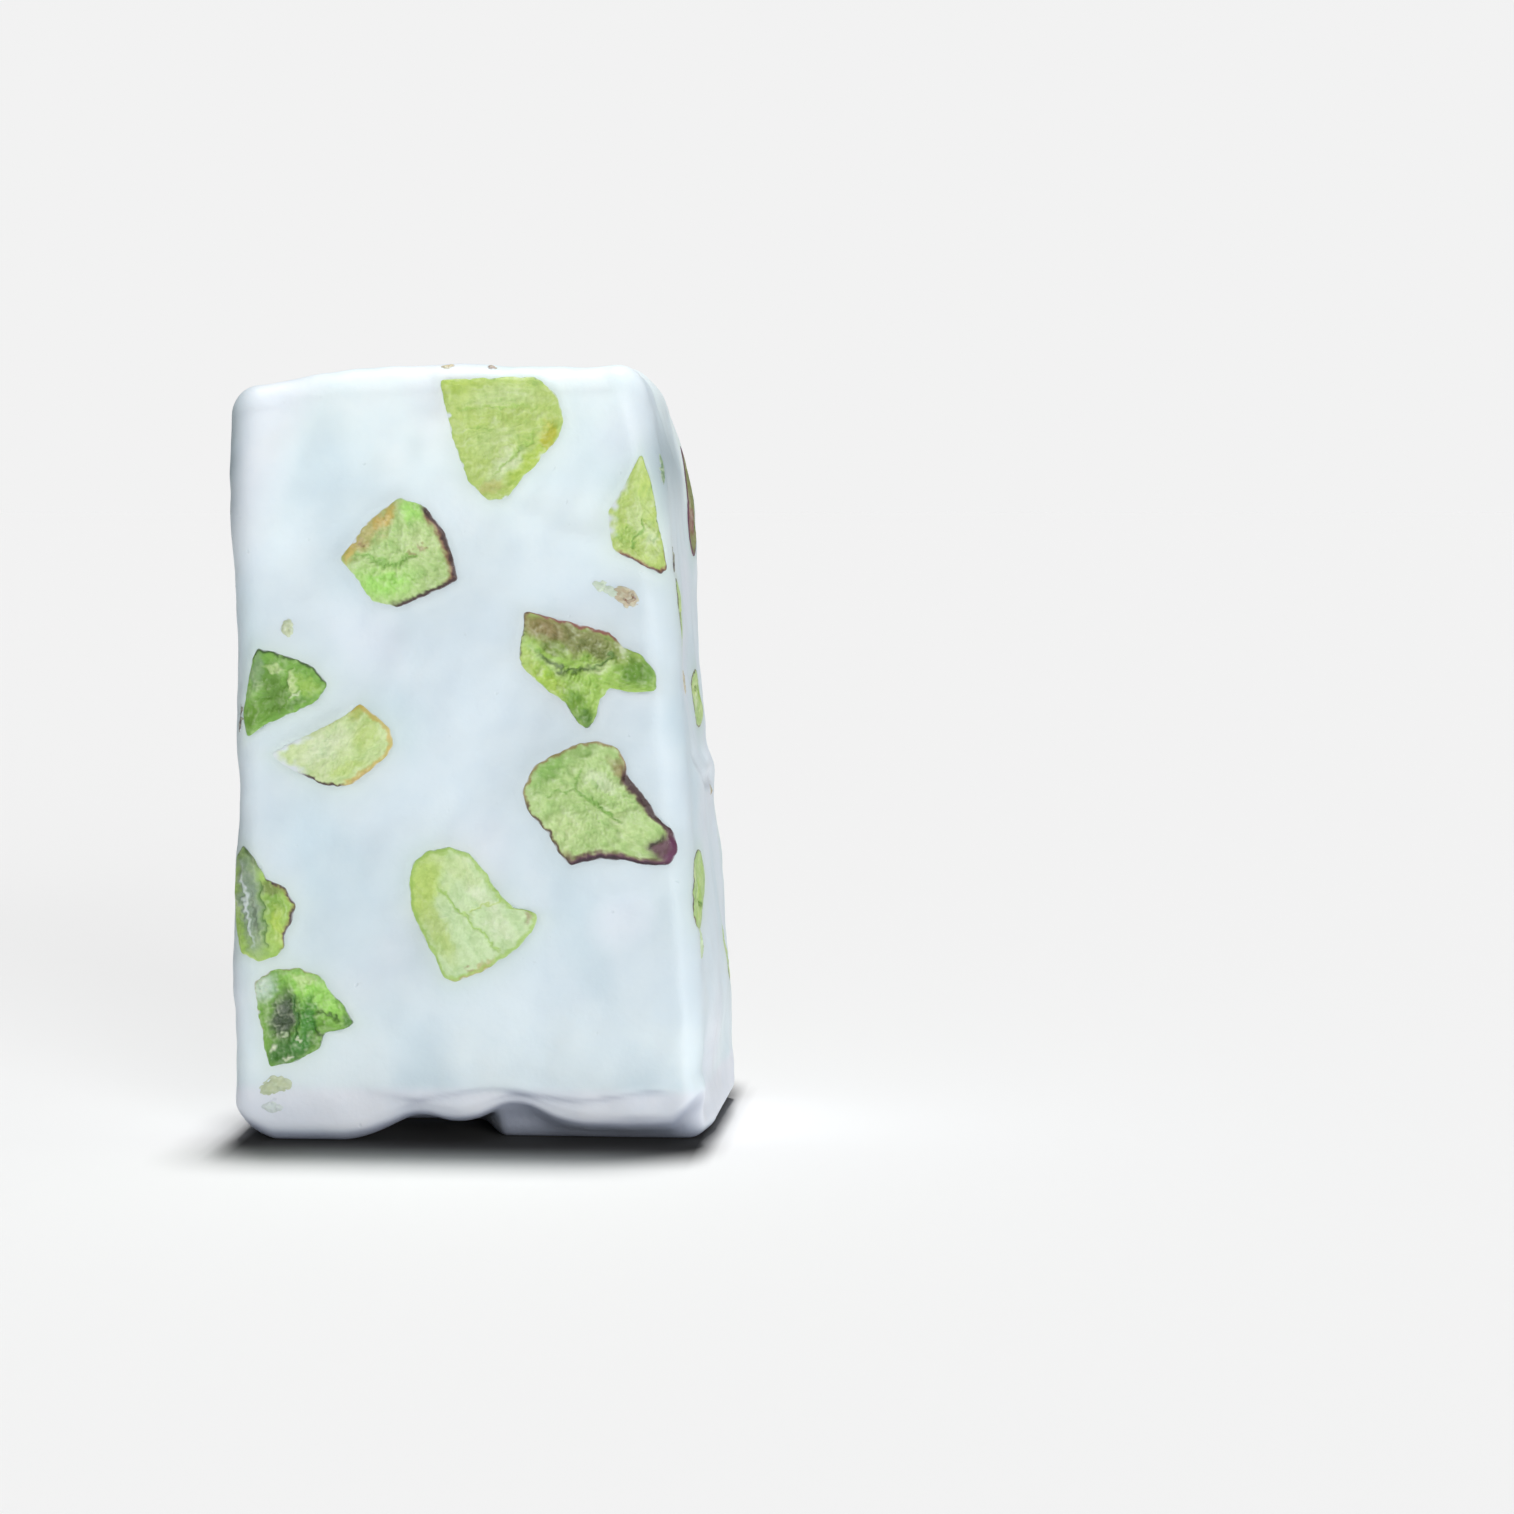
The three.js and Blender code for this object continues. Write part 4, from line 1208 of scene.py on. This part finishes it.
def kernelLook():
    # nut flesh: the painted colour, finely mottled, under a film of nougat where the veil says so
    graph = Graph("pistachioKernel")
    paint, veil = graph.painted("paint", "Color"), graph.painted("veil")
    mottle, grit = graph.noise(0.5, 3.0, 0.6), graph.noise(0.14, 2.0)
    darker = graph.mix(mottle.ramp(0.35, 0.62), (0.90, 0.93, 0.86), (1.04, 1.03, 1.06))
    flesh = graph.mix(1.0, paint, darker, "MULTIPLY")
    speckled = graph.mix(grit.ramp(0.62, 0.8) * 0.18, flesh, tuple(palette["cream"]))
    return graph.finish(
        {
            "Base Color": graph.mix(veil, speckled, tuple(palette["white"])),
            "Roughness": 0.40 + 0.22 * mottle + 0.1 * veil,
            "Normal": graph.bump(mottle * 0.7 + grit * 0.5, 0.35, 0.12),
        },
        {
            "Subsurface Weight": 0.10,
            "Subsurface Radius": (0.6 * mm, 0.9 * mm, 0.3 * mm),
            "Subsurface Scale": 1.0,
            "Specular IOR Level": 0.45,
            "Coat Weight": 0.08,
            "Coat Roughness": 0.35,
        },
    )


kernelMaterial = kernelLook()
sheets = {}
for number, (name, seat) in enumerate(seats.items()):
    kind = "front" if "front" in name else "other"
    around, rings = kernel["around"][kind], kernel["rings"][kind]
    sheets[name] = spreadSheet(seat, around, rings, kernel["ragged"], kernel["seed"] + 20 * number)


def crumbSheets():
    # the named crumbs, then more thrown over the faces by dice; each gets a seat like a kernel's
    dice = np.random.default_rng(crumbDice["seed"])
    low, high = (np.array(corner) / mm for corner in cadBox)
    listed = list(crumbs)
    for _ in range(crumbDice["count"]):
        face = dice.choice(crumbDice["faces"])
        out, across, up = faces[face]
        within = crumbDice["within"]
        at = [dice.uniform(low[i] * within, high[i] * within) for i in (across, up)]
        if up == 2:
            above, below = crumbDice["heights"]
            at[1] = dice.uniform(above, high[2] - below)
        size = dice.uniform(*crumbDice["size"])
        tone = dice.choice(crumbDice["tones"])
        size = (size, size * dice.uniform(*crumbDice["thin"]))
        turn, film = dice.uniform(0, 180), dice.uniform(*crumbDice["film"])
        listed.append((tone, face, at, size, turn, film))
    angle = np.linspace(-pi, pi, crumbDice["corners"], endpoint=False)
    way = np.stack([np.cos(angle), np.sin(angle)], axis=-1)
    made = []
    for number, (tone, face, at, size, turn, film) in enumerate(listed):
        out, across, up = faces[face]
        middle = out * np.where(out > 0, high, -low) * 0.85
        middle[across], middle[up] = at[0] + nougatShift[across], at[1] + nougatShift[up]
        away = angle - radians(turn)
        radius = 1 / np.hypot(np.cos(away) / size[0], np.sin(away) / size[1])
        wander = crumbDice["uneven"] * ripples(way, crumbDice["unevenSize"], crumbDice["rimSeed"] + number)
        rim = way * (radius * (1 + wander))[:, None]
        upWay = np.eye(3)[up]
        rim = middle + rim[:, :1] * np.cross(upWay, out) + rim[:, 1:] * upWay
        seat = seatAt(middle, out.astype(float), face, rim)
        gaps = [
            np.linalg.norm(seat["middle"] - other["middle"]) - np.hypot(*other["corners"].T).mean()
            for other in seats.values()
        ]
        if number >= len(crumbs) and min(gaps) < size[0] + crumbDice["apart"]:
            continue
        around, rings = crumbDice["around"], crumbDice["rings"]
        sheet = spreadSheet(seat, around, rings, crumbDice["ragged"], crumbDice["sheetSeed"] + number)
        made.append((sheet, tone, film))
    return made


crumbList = crumbSheets()
dropOnSkin([*sheets.values(), *(sheet for sheet, _, _ in crumbList)])
print("the sheets lie on the skin")

pieces = {}
for number, (name, sheet) in enumerate(sheets.items()):
    short = name.removeprefix("pistachio_")
    if short in looks:
        look, place = looks[short], (sheet["place"] - nougatShift)[:, [0, 2]]
    else:
        look = sideLook(sheet, sideOf.get(short, "flesh"), sideDice["seed"] + number)
        place = sheet["flat"]
    painted = paintKernel(sheet, place, look, kernel["paintSeed"] + 20 * number)
    thing = buildKernel(name.replace("pistachio", "kernel"), sheet, *painted)
    thing.data.materials.append(kernelMaterial)
    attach(thing, "root")
    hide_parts(name)
    pieces[name] = thing
print("painted", len(pieces), "kernels")


def buildCrumbs():
    # every crumb is a small domed sheet with a skirt, and all of them are one piece
    points, faces, colours, veils, count = [], [], [], [], 0
    for number, (sheet, tone, film) in enumerate(crumbList):
        seat, around, edge = sheet["seat"], sheet["around"], sheet["edge"]
        size = edge.max()
        rough = ripples(sheet["flat"], 0.35, crumbDice["paintSeed"] + number)
        dome = crumbDice["dome"]
        height = dome * smooth(0, 0.6 * size, edge) - dome * smooth(0.12, 0, edge) + 0.02 * rough
        top = placed(seat, sheet["flat"], sheet["skin"] + height)
        rimHeight = (sheet["skin"] + height)[-around:]
        low = placed(seat, sheet["flat"][-around:] * 0.8, rimHeight - crumbDice["skirt"])
        points += [top, low, low.mean(0)[None]]
        rings = ringFaces(around, sheet["rings"] + 1, True)
        faces += [[corner + count for corner in face] for face in rings]
        total = len(top) + around + 1
        count += total
        shade = blended(np.tile(palette[tone], (len(top), 1)), "cream", 0.35 * np.clip(rough, 0, 1))
        colours += [shade, np.tile(palette[tone], (around + 1, 1))]
        veils += [np.maximum(film, smooth(0.22, 0.05, edge + 0.05 * rough)), np.full(around + 1, film)]
    thing = newMesh("kernelCrumbs", np.concatenate(points), faces)
    setColour(thing.data, "paint", np.concatenate(colours))
    setValue(thing.data, "veil", np.concatenate(veils))
    thing.data.materials.append(kernelMaterial)
    return thing


kernelCrumbs = buildCrumbs()
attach(kernelCrumbs, "root")

snow = dict(
    # painted light: the nougat is painted lighter towards the foot
    foot=(232, 245, 252),
    footTurn=(13.0, 5.0),
    lower=(219, 232, 240),
    upper=(238, 251, 255),
    turn=(33.0, 49.0),  # from the one to the other, above the foot: painted light, lighter towards the top where light falls from above
    cool=(205, 224, 233),
    lavender=(238, 240, 251),
    patch=9.0,  # size of the cool and lavender areas
    patchSeeds=(31, 32),
    coolShare=(0.35, 0.6),  # how strong, and at most
    rosyShare=(0.25, 0.05),  # how strong, and how much of it is left out
    band=(1.2, 3.2),  # the foot's edge is lavender, from and to above the foot
    bandShare=0.7,
    under=(176, 184, 202),  # painted shade: its underside, looking down, is painted grey
    shadedUnderTurn=(-0.25, -0.75),  # how far a face looks down
    shadedUnderHeight=(6.0, 4.0),
    paintedShades=[  # painted shade: soft grey areas on the front half: x, z, half width, half height, strength
        (-16.5, 46.0, 2.2, 10.0, 0.85),
        (-16.4, 20.0, 1.4, 16.0, 0.5),
        (13.3, 46.0, 2.4, 5.5, 0.7),
        (15.2, 38.0, 1.6, 8.0, 0.5),
        (-3.4, 46.5, 1.2, 1.8, 0.12),
    ],
    shade=(142, 162, 170),
    shadeSoft=0.6,
    shadeDepth=(4.0, 0.0),  # the grey areas end between these y
    pocket=(-0.35, -0.9),  # a kernel's hollow begins and is full this far inside its outline
    far=12.0,  # no kernel reaches further
    facing=0.15,  # skin that looks another way than the kernel is left alone
    glow=0.85,  # painted light: how far the green of a kernel, shining through the nougat, is painted into it
    glowShare=0.30,
    lip=0.05,  # the nougat swells this much beside a kernel
    lipWidth=0.5,
)
glowTone = {"front_2": "sage", "front_5": "sage", "front_4": "olive"}  # the others shine green


def sinkPockets():
    # under each kernel the skin is pushed in; beside it, it swells a little and takes its colour as a
    # painted glow; the nougat's colour also holds painted light and shade
    points, normals = meshPoints(nougat.data), outwards(nougat.data)
    plain = points - nougatShift
    # painted light: the nougat is painted lighter towards the top
    high = smooth(*snow["turn"], plain[:, 2])[:, None]
    colours = lerp(linear(*snow["lower"]), linear(*snow["upper"]), high)
    # painted light: lighter towards the foot
    colours = lerp(colours, linear(*snow["foot"]), smooth(*snow["footTurn"], plain[:, 2])[:, None])
    coolSeed, rosySeed = snow["patchSeeds"]
    strong, most = snow["coolShare"]
    cool = np.clip(strong * ripples(plain, snow["patch"], coolSeed), 0, most)[:, None]
    colours = lerp(colours, linear(*snow["cool"]), cool)
    strong, less = snow["rosyShare"]
    rosy = np.clip(strong * ripples(plain, snow["patch"], rosySeed) - less, 0, 1)
    start, end = snow["band"]
    band = smooth(end + 1, end, plain[:, 2]) * smooth(0, start, plain[:, 2])
    colours = lerp(colours, linear(*snow["lavender"]), np.maximum(rosy, snow["bandShare"] * band)[:, None])
    # painted shade: soft grey areas laid on the nougat's colour
    for x, z, width, height, strength in snow["paintedShades"]:
        apart = np.hypot((plain[:, 0] - x) / width, (plain[:, 2] - z) / height)
        share = strength * hill(0, snow["shadeSoft"], apart) * smooth(*snow["shadeDepth"], plain[:, 1])
        colours = lerp(colours, linear(*snow["shade"]), share[:, None])
    # painted shade: faces that look down near the foot are painted grey
    under = smooth(*snow["shadedUnderTurn"], normals[:, 2]) * smooth(*snow["shadedUnderHeight"], plain[:, 2])
    colours = lerp(colours, linear(*snow["under"]), under[:, None])
    push = np.zeros(len(points))
    moved = points.copy()
    for name, sheet in sheets.items():
        seat = sheet["seat"]
        away = points - seat["middle"]
        out = away @ seat["outward"]
        flat = np.stack([away @ seat["across"], away @ seat["up"]], axis=-1)
        level, far = sheet["skin"], np.hypot(*flat.T)
        near = (out > level.min() - 1) & (out < level.max() + 1)
        near &= normals @ seat["outward"] > snow["facing"]
        near &= far < snow["far"]
        beyond = np.full(len(points), snow["far"])
        beyond[near] = far[near] - outlineAt(seat, np.arctan2(flat[near, 1], flat[near, 0]))
        moved -= (near * kernel["pocketDepth"] * smooth(*snow["pocket"], beyond))[:, None] * seat["outward"]
        push += near * snow["lip"] * hill(snow["lipWidth"] * 0.6, snow["lipWidth"] * 0.6, beyond)
        # painted light: the kernel's glow through the nougat is painted round it
        tone = palette[glowTone.get(name.removeprefix("pistachio_"), "fresh")]
        fading = np.exp(-np.clip(beyond, 0, None) / snow["glow"])
        glow = near * snow["glowShare"] * fading * smooth(-1.2, -0.2, beyond)
        colours = lerp(colours, lerp(colours, tone, 0.5), glow[:, None])
    moved += normals * push[:, None]
    moved[:, 2] = np.maximum(moved[:, 2], 0)
    setPoints(nougat.data, moved)
    setColour(nougat.data, "paint", colours)


def nougatLook():
    # satin white sweet: the painted tint, faint clouds, a fine grain and tiny air holes, darkened as painted
    # shade
    graph = Graph("whiteNougat")
    clouds, grain, pores = graph.noise(3.2, 3.0), graph.noise(0.45, 3.0, 0.6), graph.noise(0.8, 1.0)
    tint = graph.mix(clouds.ramp(0.3, 0.7), (0.965, 0.975, 0.985), (1.02, 1.015, 1.01))
    body = graph.mix(1.0, graph.painted("paint", "Color"), tint, "MULTIPLY")
    holes = pores.ramp(0.75, 0.84)
    return graph.finish(
        {
            # painted shade: the air holes are darkened
            "Base Color": graph.mix(holes * 0.35, body, (0.60, 0.68, 0.74)),
            "Roughness": 0.42 + 0.16 * clouds,
            "Normal": graph.bump(clouds * 1.6 + grain * 0.28 - holes * 0.5, 0.45, 0.16),
        },
        {
            "Subsurface Weight": 0.22,
            "Subsurface Radius": (1.1 * mm, 1.25 * mm, 1.35 * mm),
            "Subsurface Scale": 1.0,
            "Specular IOR Level": 0.4,
            "Coat Weight": 0.10,
            "Coat Roughness": 0.45,
        },
    )


sinkPockets()
nougat.data.materials.append(nougatLook())
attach(nougat, "root")
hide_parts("nougat")
print("the nougat is hollowed for its kernels and painted")
